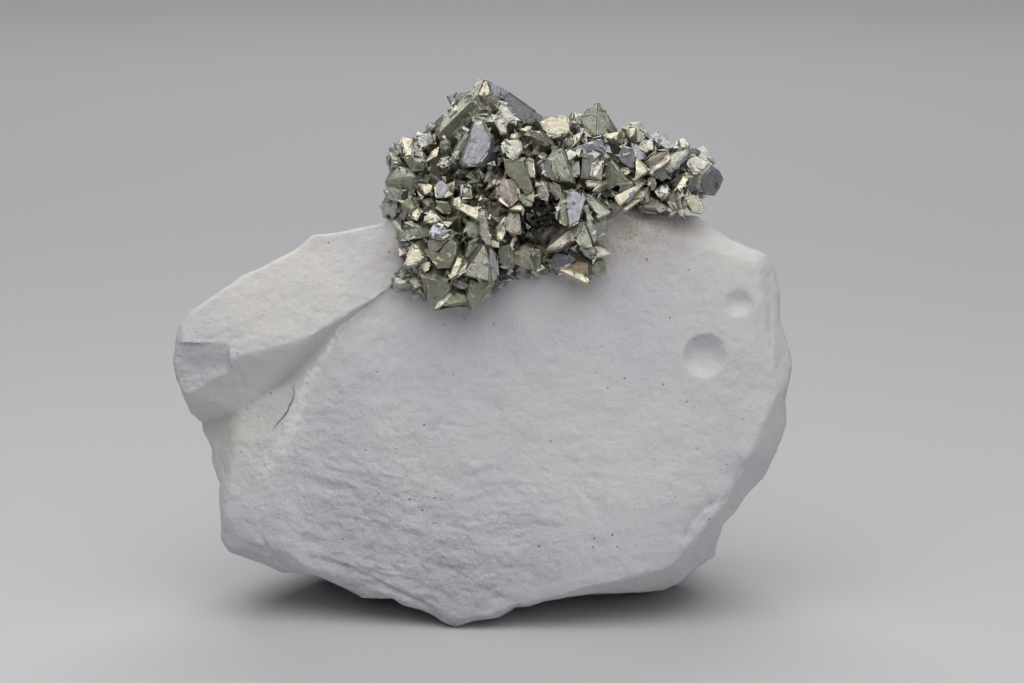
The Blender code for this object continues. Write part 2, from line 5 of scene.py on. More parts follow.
import bmesh
import bpy
import numpy as np
from mathutils import Matrix, Vector, noise


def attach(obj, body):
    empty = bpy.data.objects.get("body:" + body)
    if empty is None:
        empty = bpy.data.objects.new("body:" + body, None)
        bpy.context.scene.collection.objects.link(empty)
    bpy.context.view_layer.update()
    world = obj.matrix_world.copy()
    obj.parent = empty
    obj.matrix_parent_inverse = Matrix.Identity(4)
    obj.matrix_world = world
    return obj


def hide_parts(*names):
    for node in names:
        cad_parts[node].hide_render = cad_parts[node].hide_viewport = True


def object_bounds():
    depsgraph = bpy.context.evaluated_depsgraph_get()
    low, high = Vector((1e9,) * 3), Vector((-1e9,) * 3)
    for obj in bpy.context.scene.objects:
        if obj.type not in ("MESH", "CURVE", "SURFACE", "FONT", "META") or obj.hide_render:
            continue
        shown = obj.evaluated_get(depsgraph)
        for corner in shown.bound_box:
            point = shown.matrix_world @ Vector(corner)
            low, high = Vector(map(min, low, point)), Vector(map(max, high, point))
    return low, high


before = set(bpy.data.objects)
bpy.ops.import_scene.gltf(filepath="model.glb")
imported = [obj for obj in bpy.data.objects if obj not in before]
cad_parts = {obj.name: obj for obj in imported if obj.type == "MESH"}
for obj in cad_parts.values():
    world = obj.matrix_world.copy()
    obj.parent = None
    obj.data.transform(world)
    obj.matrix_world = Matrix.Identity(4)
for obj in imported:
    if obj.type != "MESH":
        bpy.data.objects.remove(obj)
cad_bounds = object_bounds()

# The block and the crystals are laid out in the frame of the block's broad front face, in millimetres:
# a runs across it to the right, b up it, and w out of it.  The sheet is held up before the face, in
# steps of STEP mm, counted from its upper left: first to the right, then down.
MM = 0.001
LEAN = 12.0                    # degrees the broad face leans back from upright
MIDDLE = (4.7, -2.0, 43.2)     # the face frame's origin above the floor, mm
VIEW = 415.0                   # distance in front of the face from which the outline is drawn, mm
FACE = 10.3                    # the broad face's height w, mm
STEP = 0.1621
SHEET_MIDDLE = (512.0, 341.5)
PLATE_MIDDLE = (-5.0, -11.0, -4.0)     # the plate inside the block from which its surface is drawn
PLATE_RADII = (37.0, 23.0, 0.0)
PLATE_LEAN = (0.45, 0.45, 1.0)         # how far the rays from the plate spread along a, b and w
FARTHEST = 60.0                        # no ray is longer than this, mm
BALL_SPLITS = 7                # how often the ball's triangles are halved all over, and where the
MORE_SPLITS = 4                # surface has detail
FRONT_EDGE = 0.61              # longest edge of the chalk's mesh on the front, mm
OTHER_EDGE = 1.35              # on its other sides
RIM_EDGE = 0.35                # within RIM_REACH of the crushed rim and of the crack
CRACK_EDGE = 0.11              # within CRACK_REACH of the crack
RIM_REACH = 1.2
CRACK_REACH = 0.5
RELIEF_SINK = 0.1              # the relief lies this much lower than the plain block, mm
HALVINGS = 15                  # how often the reach of a ray is halved to find where it leaves the block
NARROWING = 0.22               # how much the top and sides draw in behind the widest part, mm per mm
WIDEST = 3.0                   # height w of the widest part, mm
FOOT_TOP = -38.0               # below this b the sides don't draw in, and FOOT_FADE further up fully
FOOT_FADE = 18.0

# The face frame's place in the world: from millimetres in it to metres there
FACE_TO_WORLD = (Matrix.Scale(MM, 4) @ Matrix.Translation(Vector(MIDDLE))
                 @ Matrix.Rotation(math.radians(90.0 - LEAN), 4, "X"))

# The block's outline seen from the front, clockwise from the foot: (a, b)
OUTLINE = [
    (-9.2, -46.5), (-14.5, -43.7), (-18.0, -42.7), (-19.3, -41.7), (-24.3, -41.7), (-27.2, -40.0),
    (-31.9, -37.8), (-37.3, -37.4), (-43.8, -35.0), (-46.0, -34.2), (-47.2, -32.3), (-47.6, -23.0),
    (-49.2, -19.5), (-49.4, -17.1), (-51.1, -14.5), (-53.2, -9.6), (-54.6, -5.8), (-55.0, -3.2),
    (-54.4, 0.5), (-54.0, 2.3), (-52.0, 4.8), (-44.9, 9.5), (-43.6, 10.6), (-40.5, 12.0),
    (-35.5, 15.0), (-32.3, 17.6), (-28.7, 17.8), (-21.4, 19.0), (-19.0, 20.0), (-10.0, 22.5),
    (4.0, 23.5), (18.0, 22.5), (30.2, 20.2), (31.6, 18.7), (35.0, 16.5), (41.0, 14.0),
    (42.4, 12.2), (43.4, 8.3), (43.4, 3.2), (44.7, 0.1), (45.6, -3.2), (45.2, -5.6),
    (44.1, -9.5), (44.4, -13.5), (43.4, -18.0), (41.6, -21.8), (37.9, -25.7), (36.1, -28.3),
    (34.4, -29.9), (32.9, -34.8), (30.0, -36.7), (27.1, -39.0), (24.6, -40.3), (20.6, -40.8),
    (12.6, -41.1), (5.3, -42.1), (2.8, -42.9), (0.6, -43.0), (-2.0, -44.7), (-6.5, -45.4),
]

# Flat breaks of the front: heading in the face plane, angle turned away from it, a point on it.
# A heading of 0 is to the right, 90 up, 180 left and 270 down.
FRONT_BREAKS = [
    (0, 0, (0, 0, FACE)),
    (225, 5, (-14, -12, FACE)),
    (330, 4, (22, -14, FACE)),
    (69, 42, (28.4, 15.8, FACE)),
    (35, 40, (39.6, 9.6, FACE)),
    (8, 44, (39.8, 2, FACE)),
    (336, 55, (39.0, -13.5, FACE)),
    (332, 60, (34.6, -22.8, FACE)),
    (318, 58, (29.0, -30.7, FACE)),
    (286, 60, (20.0, -36.7, FACE)),
    (284, 65, (5.2, -40.6, FACE)),
    (249, 46, (-24.7, -36.2, FACE)),
    (214, 36, (-41.4, -27.2, FACE)),
    (175, 52, (-42.5, -16.0, FACE)),
    (150, 42, (-31.6, -4.2, 9.7)),
]

# Breaks of the left lobe, which lies a little lower than the face
LOBE_BREAKS = [
    (180, 5, (-39.6, -22.0, 8.1)),
    (0, 20, (-35.0, -10.0, 8.5)),
    (114, 60, (-37.3, -7.6, 8.3)),
    (150, 45, (-44.6, -13.0, 7.8)),
    (175, 52, (-44.3, -16.0, 7.8)),
    (214, 36, (-41.4, -27.2, FACE)),
    (249, 46, (-24.7, -36.2, FACE)),
]

# Breaks of the slab that stands proud of the face at the upper left
SLAB_BREAKS = [
    (38, 9, (-27.7, 2.1, 12.5)),
    (293, 44, (-37.1, -1.0, 13.95)),
    (307, 66, (-23.4, 5.8, 11.5)),
    (178, 48, (-52.4, 0.0, 14.6)),
    (262, 70, (-46.0, -10.6, 8.6)),
]

# Breaks of the back, which faces away from the viewer
BACK_BREAKS = [
    (90, 156, (-4.7, -35.7, -34.2)),
    (160, 128, (-34, 4, -13)),
    (15, 126, (34, -6, -14)),
    (82, 112, (6, 21, -5)),
    (60, 140, (20, 12, -13)),
    (120, 138, (-24, 12, -11)),
    (212, 122, (-40, -26, -20)),
    (325, 124, (30, -27, -24)),
    (262, 150, (-6, -34, -33)),
]

# Round pits in the face: middle (a, b), rim radius and depth
PITS = [
    ((30.6, -2.3), 3.5, 1.9),
    ((35.8, 5.9), 2.3, 1.1),
    ((11.3, 4.8), 3.8, 0.25),
]

# Grown-together middles of the crystal masses: middle (a, b, w) and radii
CORES = [
    ((-8.9, 22.0, 5.0), (9.5, 14.5, 9.0)),
    ((8.2, 22.5, 5.0), (7.0, 11.5, 8.0)),
    ((22.5, 26.2, 4.2), (10.5, 4.8, 5.6)),
    ((1.5, 26.0, 4.5), (6.5, 7.5, 7.0)),
]

# What the crystals cover on the sheet
CLUSTER_OUTLINE = [
    (380, 206), (386, 186), (390, 152), (403, 138), (436, 122), (448, 98), (470, 92), (486, 80),
    (508, 92), (546, 120), (568, 117), (583, 116), (598, 104), (608, 114), (613, 128), (640, 123),
    (650, 135), (668, 139), (686, 139), (704, 147), (722, 178), (714, 194), (704, 210), (684, 218),
    (640, 211), (611, 214), (606, 240), (610, 254), (605, 274), (588, 282), (556, 275), (538, 278),
    (512, 279), (472, 307), (434, 306), (392, 290), (399, 240),
]

# The crystals that face the viewer: colour key, which also carries painted highlights and painted shade,
# height w of the middle of the main face, the face's heading and turn, and its corners on the sheet
CRYSTALS = [
    # tall spear at the top left and the crystals beside it
    ("green", 13.0, 320, 18, [(479, 94), (487, 104), (474, 118), (456, 138), (438, 136), (451, 117),
     (465, 104)]),
    ("green", 13.4, 130, 30, [(486, 78), (479, 95), (465, 106), (451, 119), (437, 137), (441, 124),
     (452, 111), (470, 93)]),
    ("cream_glint", 13.2, 95, 26, [(486, 78), (491, 93), (484, 97), (478, 95), (479, 88)]),
    ("grey", 9.0, 120, 15, [(479, 77), (473, 86), (476, 92), (484, 84)]),
    ("slate_shaded", 8.0, 100, 8, [(446, 96), (467, 92), (474, 89), (464, 102), (451, 106)]),
    ("pale", 12.0, 160, 22, [(444, 112), (451, 118), (446, 130), (437, 136)]),
    ("grey", 9.0, 200, 12, [(434, 122), (443, 114), (445, 122), (438, 132)]),
    ("lilac", 10.0, 20, 24, [(487, 79), (508, 91), (510, 98), (488, 101), (483, 98)]),
    ("slate_shaded", 10.4, 30, 24, [(508, 92), (546, 119), (538, 122), (528, 125), (518, 120), (502, 106)]),
    ("pale", 13.3, 70, 15, [(500, 103), (507, 106), (519, 121), (517, 125), (510, 124), (499, 113)]),
    ("pale", 15.0, 110, 22, [(473, 122), (474, 116), (489, 113), (495, 121), (484, 120)]),
    ("pale", 15.2, 80, 17, [(489, 113), (500, 116), (507, 123), (507, 133), (500, 134), (494, 121)]),
    ("pale", 15.6, 150, 22, [(463, 128), (470, 131), (462, 150), (455, 163), (450, 163), (457, 146)]),
    ("lilac", 17.2, 10, 13, [(475, 122), (483, 120), (492, 139), (491, 148), (478, 166), (464, 166),
     (461, 162), (469, 140)]),
    # left shoulder
    ("cream_glint", 11.0, 100, 28, [(401, 136), (413, 139), (410, 148), (411, 156), (405, 157), (403, 146)]),
    ("pale", 11.6, 70, 16, [(413, 140), (420, 146), (428, 157), (424, 160), (411, 153)]),
    ("grey", 10.2, 90, 8, [(415, 133), (431, 134), (432, 143), (424, 148), (418, 142)]),
    ("pale", 10.0, 130, 24, [(391, 143), (400, 144), (402, 155), (397, 152)]),
    ("green", 10.4, 150, 20, [(387, 151), (398, 153), (400, 162), (393, 169), (388, 171)]),
    ("cream_glint", 13.4, 95, 27, [(440, 147), (437, 157), (429, 159), (431, 152)]),
    ("green", 12.4, 250, 12, [(402, 157), (412, 157), (427, 160), (426, 168), (411, 171)]),
    ("green", 12.2, 190, 22, [(388, 172), (398, 166), (409, 170), (417, 180), (409, 190), (395, 192),
     (384, 187), (385, 178)]),
    ("cream_glint", 15.2, 90, 27, [(418, 184), (433, 185), (431, 192), (425, 195)]),
    ("lilac", 14.8, 60, 18, [(434, 184), (442, 180), (450, 188), (449, 197), (436, 198)]),
    ("pale", 14.2, 120, 20, [(438, 165), (446, 157), (451, 164), (443, 169)]),
    ("green", 13.8, 200, 15, [(440, 141), (448, 139), (449, 150), (441, 149)]),
    ("pale", 16.2, 90, 12, [(461, 184), (470, 186), (472, 198), (462, 199)]),
    # left side down to the bottom tip
    ("pale", 12.2, 175, 28, [(382, 190), (390, 186), (401, 190), (402, 203), (392, 201), (386, 199)]),
    ("grey", 11.4, 210, 12, [(378, 206), (388, 202), (398, 204), (398, 214), (391, 217)]),
    ("olive", 13.4, 230, 12, [(400, 204), (410, 196), (419, 205), (413, 223), (402, 217)]),
    ("cream_glint", 14.4, 100, 26, [(412, 212), (418, 207), (421, 214), (417, 221), (411, 218)]),
    ("cream_glint", 16.2, 85, 24, [(424, 219), (430, 209), (436, 213), (442, 220), (436, 223), (426, 223)]),
    ("olive", 15.0, 260, 20, [(435, 200), (448, 202), (453, 210), (446, 215), (438, 209)]),
    ("cream_glint", 17.4, 100, 27, [(453, 198), (460, 196), (462, 204), (459, 210), (453, 206)]),
    ("cream_glint", 17.8, 80, 28, [(457, 208), (462, 203), (479, 208), (480, 221), (468, 215)]),
    ("green", 14.4, 110, 18, [(404, 229), (411, 221), (421, 229)]),
    ("green", 14.2, 270, 14, [(398, 230), (412, 229), (430, 229), (430, 237), (412, 240), (397, 240)]),
    ("grey", 13.0, 250, 24, [(398, 241), (414, 242), (409, 250), (403, 248)]),
    ("lilac", 17.0, 100, 16, [(429, 229), (434, 222), (444, 225), (451, 234), (442, 240), (431, 238)]),
    ("cream_glint", 16.6, 80, 22, [(440, 222), (453, 222), (448, 228)]),
    ("olive", 16.6, 60, 20, [(441, 236), (452, 228), (457, 233), (447, 243), (441, 243)]),
    ("green", 17.2, 20, 14, [(466, 220), (479, 223), (478, 240), (470, 237), (466, 230)]),
    ("pale", 19.0, 170, 14, [(480, 211), (486, 213), (489, 230), (492, 246), (486, 245), (480, 236)]),
    ("pale", 18.4, 150, 14, [(485, 244), (489, 262), (490, 281), (477, 276), (464, 275), (472, 262)]),
    ("grey", 17.6, 0, 32, [(490, 246), (496, 255), (498, 279), (492, 283), (489, 262)]),
    ("cream_glint", 15.6, 95, 30, [(414, 243), (418, 246), (425, 258), (418, 263), (403, 266), (408, 254)]),
    ("cream_glint", 15.2, 70, 27, [(419, 261), (430, 261), (431, 266), (425, 273), (421, 267)]),
    ("lilac", 14.2, 250, 14, [(407, 266), (420, 265), (422, 276), (411, 273)]),
    ("pale", 12.8, 80, 22, [(397, 247), (402, 245), (407, 254), (400, 254)]),
    ("olive", 17.6, 190, 16, [(441, 250), (452, 240), (457, 243), (455, 256), (450, 268), (437, 269),
     (433, 262)]),
    ("brown", 15.6, 240, 12, [(425, 252), (433, 250), (441, 255), (433, 263)]),
    ("brown", 16.0, 215, 14, [(427, 241), (440, 238), (447, 244), (437, 252), (428, 251)]),
    ("cream_glint", 18.2, 110, 26, [(458, 256), (463, 258), (454, 278), (450, 277)]),
    ("cream_glint", 18.0, 70, 28, [(468, 263), (464, 272), (457, 277), (460, 269)]),
    ("olive", 16.6, 315, 24, [(470, 242), (483, 246), (476, 254), (468, 262), (465, 254)]),
    ("green", 15.4, 200, 16, [(422, 274), (434, 274), (448, 280), (451, 289), (434, 309), (428, 301)]),
    ("cream_glint", 15.2, 75, 20, [(434, 310), (450, 288), (455, 293), (440, 308)]),
    ("olive", 14.6, 290, 22, [(438, 309), (454, 293), (470, 295), (479, 301), (472, 310), (469, 306)]),
    ("olive", 15.4, 320, 16, [(468, 284), (488, 280), (496, 282), (485, 300), (472, 310), (466, 298)]),
    ("slate_shaded", 13.4, 280, 30, [(483, 300), (496, 282), (513, 279), (500, 287)]),
    ("pale", 13.4, 200, 24, [(390, 283), (394, 277), (400, 279), (409, 284), (396, 293), (391, 290)]),
    ("cream_glint", 14.0, 80, 18, [(409, 281), (416, 280), (423, 285), (415, 289)]),
    ("slate_shaded", 13.4, 230, 20, [(394, 274), (400, 271), (406, 276), (399, 280)]),
    ("lilac", 15.8, 30, 20, [(458, 281), (468, 278), (471, 286), (463, 289)]),
    ("cream_glint", 16.4, 85, 24, [(470, 281), (477, 284), (472, 290)]),
    # middle, around the dark hollow between the two masses
    ("pale", 16.2, 85, 14, [(507, 140), (519, 139), (523, 149), (515, 160), (503, 152), (500, 146)]),
    ("olive", 15.6, 245, 12, [(503, 158), (515, 161), (525, 158), (530, 180), (533, 192), (526, 196),
     (517, 181), (505, 172)]),
    ("cream_glint", 15.4, 30, 26, [(526, 158), (533, 160), (535, 178), (529, 177)]),
    ("brown", 17.0, 75, 14, [(500, 178), (513, 178), (518, 186), (521, 196), (510, 207), (498, 199),
     (496, 186)]),
    ("cream_glint", 17.2, 90, 27, [(509, 210), (518, 204), (524, 210)]),
    ("brown", 17.0, 60, 10, [(506, 216), (513, 213), (520, 215), (520, 232), (512, 234), (505, 230)]),
    ("cream_glint", 16.8, 120, 22, [(499, 222), (506, 214), (506, 232), (502, 241), (496, 240)]),
    ("cream_glint", 17.2, 90, 26, [(490, 239), (499, 242), (500, 248), (492, 247)]),
    ("cream_glint", 16.0, 50, 28, [(513, 234), (516, 236), (512, 250), (509, 247)]),
    ("green", 15.4, 210, 14, [(500, 246), (512, 244), (514, 262), (505, 269), (499, 262)]),
    ("olive", 14.2, 280, 16, [(513, 252), (530, 257), (535, 270), (524, 269), (513, 262)]),
    ("olive", 15.0, 60, 14, [(517, 196), (526, 192), (533, 198), (532, 207), (524, 206)]),
    ("brown", 14.2, 100, 10, [(536, 181), (549, 182), (552, 190), (546, 201), (537, 197)]),
    ("pale", 15.2, 40, 20, [(550, 181), (560, 187), (562, 198), (557, 200), (551, 190)]),
    ("green", 15.4, 170, 18, [(554, 147), (562, 149), (569, 168), (573, 183), (560, 181), (551, 168),
     (547, 157)]),
    ("grey", 14.6, 215, 20, [(547, 157), (552, 168), (559, 181), (549, 178), (541, 171)]),
    ("cream_glint", 14.2, 90, 26, [(538, 156), (547, 154), (544, 160)]),
    ("brown", 13.0, 240, 16, [(524, 132), (540, 131), (557, 147), (548, 143), (536, 138)]),
    ("cream_glint", 12.8, 80, 27, [(521, 132), (526, 126), (531, 126), (528, 131)]),
    ("cream_glint", 14.2, 90, 25, [(510, 134), (517, 133), (518, 139), (511, 140)]),
    ("olive", 12.6, 250, 14, [(534, 249), (541, 250), (541, 268), (538, 281), (535, 274)]),
    # right mass
    ("cream_glint", 12.2, 90, 24, [(540, 121), (550, 117), (567, 116), (570, 124), (570, 131), (562, 135),
     (551, 138), (545, 132)]),
    ("pale", 9.2, 90, 18, [(572, 110), (583, 114), (583, 118), (578, 124), (571, 122)]),
    ("green", 9.2, 165, 20, [(598, 102), (596, 136), (583, 125), (581, 116), (590, 107)]),
    ("green", 9.0, 15, 22, [(598, 102), (607, 112), (611, 129), (604, 135), (596, 136)]),
    ("cream_glint", 12.0, 110, 22, [(566, 140), (572, 136), (582, 131), (580, 139), (571, 149), (566, 148)]),
    ("lilac", 13.2, 75, 16, [(571, 148), (591, 140), (603, 136), (607, 143), (606, 153), (596, 150),
     (582, 152)]),
    ("pale", 14.2, 95, 24, [(565, 149), (580, 152), (568, 161)]),
    ("grey", 13.4, 200, 14, [(582, 155), (597, 151), (600, 165), (598, 180), (580, 179)]),
    ("pale", 13.8, 60, 16, [(592, 163), (600, 158), (605, 164), (602, 179), (590, 177)]),
    ("grey", 13.4, 150, 18, [(571, 162), (579, 160), (580, 175), (572, 177)]),
    ("olive", 12.4, 215, 22, [(611, 160), (620, 170), (629, 181), (618, 186), (606, 189), (604, 175)]),
    ("cream_glint", 13.2, 90, 16, [(586, 181), (600, 181), (599, 187), (588, 187)]),
    ("lilac", 17.0, 40, 18, [(567, 192), (574, 189), (581, 193), (585, 201), (579, 222), (570, 227),
     (567, 210)]),
    ("olive", 16.8, 170, 20, [(567, 192), (570, 227), (557, 220), (556, 212), (561, 201)]),
    ("brown", 15.4, 130, 22, [(545, 250), (556, 242), (571, 229), (584, 221), (578, 236), (566, 244),
     (557, 249)]),
    ("green", 15.0, 60, 20, [(583, 195), (593, 198), (612, 212), (602, 218), (592, 209)]),
    ("pale", 16.2, 150, 18, [(585, 207), (589, 208), (593, 222), (597, 240), (594, 243), (588, 226)]),
    ("green", 15.6, 120, 16, [(579, 222), (585, 221), (591, 238), (593, 248), (582, 247), (576, 242)]),
    ("grey", 14.0, 320, 14, [(591, 222), (600, 216), (607, 219), (606, 232), (599, 237), (593, 233)]),
    ("grey", 14.6, 265, 16, [(580, 248), (592, 247), (598, 252), (591, 260), (584, 256)]),
    ("pale", 13.6, 75, 22, [(594, 246), (603, 247), (612, 254), (601, 257), (592, 260)]),
    ("rust", 14.0, 110, 12, [(563, 271), (566, 264), (578, 262), (589, 263), (589, 276)]),
    ("cream_glint", 14.6, 95, 26, [(559, 270), (563, 269), (586, 276), (590, 285)]),
    ("slate_shaded", 13.6, 200, 16, [(552, 256), (559, 252), (573, 257), (573, 268), (558, 276), (552, 270)]),
    ("green", 13.0, 330, 20, [(591, 267), (600, 261), (607, 263), (606, 271), (600, 278), (594, 275)]),
    # right arm
    ("cream_glint", 10.2, 90, 28, [(604, 134), (620, 131), (616, 138), (609, 140)]),
    ("green", 9.0, 170, 20, [(623, 125), (628, 132), (628, 143), (617, 143), (619, 133)]),
    ("cream_glint", 9.8, 90, 26, [(626, 128), (636, 127), (635, 134), (630, 138)]),
    ("green", 8.6, 30, 16, [(630, 122), (640, 121), (645, 128), (648, 137), (641, 143), (631, 143)]),
    ("grey", 7.0, 100, 12, [(653, 135), (657, 130), (660, 136), (657, 141)]),
    ("grey", 7.0, 60, 12, [(660, 137), (665, 133), (668, 138), (668, 145), (661, 143)]),
    ("lilac", 8.6, 75, 20, [(646, 134), (656, 135), (668, 142), (679, 147), (667, 150), (655, 142)]),
    ("pale", 10.8, 90, 22, [(641, 142), (653, 138), (654, 150), (645, 151)]),
    ("lilac", 12.2, 200, 16, [(616, 157), (623, 145), (632, 148), (636, 162), (631, 169), (621, 163)]),
    ("lilac", 11.4, 50, 18, [(632, 143), (642, 146), (646, 158), (637, 161), (633, 152)]),
    ("cream_glint", 14.0, 85, 29, [(636, 158), (650, 171), (637, 177)]),
    ("cream_glint", 14.3, 105, 28, [(648, 174), (651, 169), (669, 155), (672, 158), (660, 168)]),
    ("brown", 12.0, 90, 12, [(644, 161), (655, 151), (669, 149), (668, 157), (651, 169)]),
    ("cream_glint", 13.2, 80, 28, [(631, 178), (647, 181), (639, 189)]),
    ("cream_glint", 14.5, 95, 28, [(614, 196), (630, 192), (647, 181), (634, 195), (620, 206)]),
    ("green", 12.8, 300, 18, [(626, 198), (640, 190), (649, 187), (651, 198), (640, 201), (625, 209)]),
    ("cream_glint", 13.4, 60, 28, [(647, 184), (651, 176), (655, 178), (653, 184), (649, 186)]),
    ("lilac", 12.4, 260, 22, [(619, 187), (632, 181), (635, 190), (622, 196)]),
    ("green", 12.6, 105, 16, [(690, 149), (675, 152), (664, 162), (661, 169), (668, 173), (679, 165)]),
    ("lilac", 12.8, 345, 24, [(690, 149), (689, 157), (671, 174), (667, 172), (678, 161)]),
    ("pale", 12.2, 70, 20, [(690, 154), (697, 156), (710, 163), (700, 173), (692, 173), (686, 164)]),
    ("cream_glint", 13.8, 110, 26, [(686, 172), (691, 175), (680, 192), (676, 188)]),
    ("green", 13.2, 190, 14, [(670, 194), (678, 189), (682, 203), (685, 221), (676, 214), (668, 207)]),
    ("grey", 6.4, 80, 14, [(691, 151), (704, 145), (709, 156), (716, 163), (710, 167), (699, 158)]),
    ("slate_shaded", 7.4, 335, 20, [(700, 174), (710, 164), (720, 171), (724, 179), (720, 189), (715, 196),
     (704, 195), (698, 182)]),
    ("cream_glint", 12.0, 45, 18, [(683, 198), (699, 194), (705, 208), (703, 213), (691, 211)]),
    ("grey", 12.8, 120, 16, [(654, 190), (664, 184), (671, 192), (662, 201)]),
    ("pale", 7.6, 95, 22, [(679, 139), (685, 137), (689, 147), (681, 149)]),
    ("green", 12.4, 240, 14, [(651, 173), (660, 167), (669, 176), (661, 181)]),
    ("cream_glint", 12.4, 90, 26, [(619, 169), (629, 168), (629, 174), (626, 176)]),
    ("slate_shaded", 11.4, 285, 20, [(682, 188), (691, 175), (701, 173), (699, 187), (690, 192)]),
    ("brown", 11.6, 270, 16, [(638, 204), (655, 199), (671, 206), (660, 213), (641, 211)]),
    ("cream_glint", 14.0, 70, 28, [(622, 210), (639, 198), (641, 200), (626, 211)]),
    ("cream_glint", 14.2, 20, 24, [(677, 191), (680, 193), (684, 219), (680, 212)]),
    ("olive", 13.6, 240, 14, [(420, 199), (433, 198), (436, 208), (424, 212)]),
]

# Small broken ledges of the chalk: path on the sheet, drop in mm to the right of the way it runs, and
# how far in mm the drop takes to fade out
LEDGES = [
    ([(600, 530), (592, 508), (575, 488), (545, 475)], 0.16, 4.0),
    ([(296, 552), (345, 563), (395, 588), (447, 614)], 0.5, 2.0),
    ([(405, 552), (450, 566), (492, 592), (520, 600)], 0.22, 2.0),
    ([(268, 520), (262, 536), (272, 552)], 0.3, 2.0),
    ([(748, 462), (740, 478), (736, 492), (722, 512)], 0.6, 1.6),
    ([(720, 503), (703, 513), (692, 527), (686, 545)], 0.9, 1.8),
    ([(772, 292), (774, 340), (768, 392), (775, 432)], 0.25, 2.0),
    ([(345, 470), (312, 455), (292, 448)], 0.25, 3.0),
    ([(366, 420), (334, 432), (318, 445)], 0.16, 3.0),
    ([(352, 322), (338, 333), (336, 343), (330, 352)], 0.25, 1.2),
    ([(640, 300), (612, 318), (600, 322)], 0.10, 4.0),
]

# The crack in the left lobe, and the crushed rim along which the broad face begins
CRACK = [(292, 384), (293, 396), (290, 404), (287, 412), (280, 421), (267, 436)]
CRUSHED_RIM = [(391, 284), (362, 307), (338, 329), (330, 345), (317, 362), (306, 376), (299, 393),
               (290, 420), (282, 440), (267, 461), (252, 486)]

# Warmer and cooler places of the chalk, partly its own colour and partly painted light and painted shade:
# lighter warmer patches where light falls on the upward slab, the top edge and the lower walls of the pits;
# darker cooler patches as painted shade under the crystals, in the notch, on the downward facets at the
# foot, the bottom and the lower right, and on the upper walls of the pits: middle on the sheet, radius
# there, and warmth
TONES_LIGHT_AND_SHADE = [
    ((300, 290), 90, 0.9),
    ((730, 246), 55, 0.9),
    ((590, 470), 90, 0.6),
    ((255, 430), 45, 0.8),
    ((430, 470), 60, 0.4),
    ((650, 320), 95, -0.7),
    ((440, 335), 70, -0.9),
    ((530, 310), 60, -0.5),
    ((205, 365), 40, -0.8),
    ((350, 560), 85, -0.7),
    ((480, 600), 170, -1.1),
    ((335, 412), 42, -1.0),
    ((375, 530), 50, -0.7),
    ((250, 550), 45, -0.8),
    ((545, 590), 50, -0.6),
    ((560, 560), 60, -0.5),
    ((225, 525), 42, -1.0),
    ((458, 606), 45, -1.3),
    ((764, 476), 26, -1.7),
    ((690, 560), 55, -1.2),
    ((743, 296), 9, -1.0),
    ((740, 306), 8, 1.2),
    ((711, 345), 13, -0.5),
    ((704, 364), 13, 1.3),
]

# The smoothest place of the chalk: middle and half widths on the sheet
SMOOTH = ((640.0, 370.0), (150.0, 130.0))

# Where the bedding shows: middle and half widths on the sheet
BEDDING = ((400.0, 535.0), (185.0, 88.0))

# Rough places of the chalk: middle on the sheet, radius and strength
ROUGH = [
    ((200, 370), 30, 1.0),
    ((262, 455), 50, 0.6),
    ((375, 535), 100, 0.7),
    ((470, 560), 60, 0.6),
]

# Where the crystals have stained the chalk, above a level in mm: middle on the sheet, radius and strength
STAIN_LEVEL = 4.0
STAINS = [
    ((650, 220), 38, 1.3),
    ((616, 240), 28, 1.1),
    ((560, 285), 26, 0.6),
    ((470, 312), 34, 0.35),
    ((395, 262), 22, 0.4),
]


def facing(heading, turn):
    """Unit vector at an angle to the face's normal, leaning the way of the heading."""
    h = math.radians(heading)
    t = math.radians(turn)
    return np.array((math.sin(t) * math.cos(h), math.sin(t) * math.sin(h), math.cos(t)))


def soft_max(values, rounding):
    """Largest of the values, with the corners between them rounded."""
    return rounding * np.logaddexp.reduce(np.array(values) / rounding, axis=0)


def breaks_field(points, breaks):
    """Distances outside the breaks' planes."""
    return [(points - np.array(point)) @ facing(heading, turn) for heading, turn, point in breaks]


def outline_field(points):
    """Distance outside the outline; the block's top and sides narrow behind its widest part."""
    scale = VIEW / (VIEW - points[:, 2:3])
    drawn = points[:, :2] * scale
    nearest = np.full(len(points), 1.0e9)
    inside = np.zeros(len(points), dtype=bool)
    for (a0, b0), (a1, b1) in zip(OUTLINE, OUTLINE[1:] + OUTLINE[:1]):
        start = np.array((a0, b0))
        edge = np.array((a1 - a0, b1 - b0))
        along = np.clip((drawn - start) @ edge / (edge @ edge), 0.0, 1.0)
        nearest = np.minimum(nearest, np.hypot(*(drawn - start - along[:, None] * edge).T))
        crosses = (drawn[:, 1] < b0) != (drawn[:, 1] < b1)
        if b0 != b1:
            inside ^= crosses & (drawn[:, 0] < a0 + (drawn[:, 1] - b0) * edge[0] / edge[1])
    distance = np.where(inside, -nearest, nearest)
    narrowing = NARROWING * np.clip((points[:, 1] - FOOT_TOP) / FOOT_FADE, 0.0, 1.0)
    return distance + narrowing * np.maximum(0.0, WIDEST - points[:, 2])


def notch_field(points):
    """Positive in the corner broken out of the slab's left end."""
    a, b, w = points.T
    floor = np.maximum(13.0 + 0.12 * (a + 48.0), 14.9 + 0.45 * (b + 0.3))
    return np.minimum(np.minimum(-44.3 - a, -0.3 - b), w - floor)


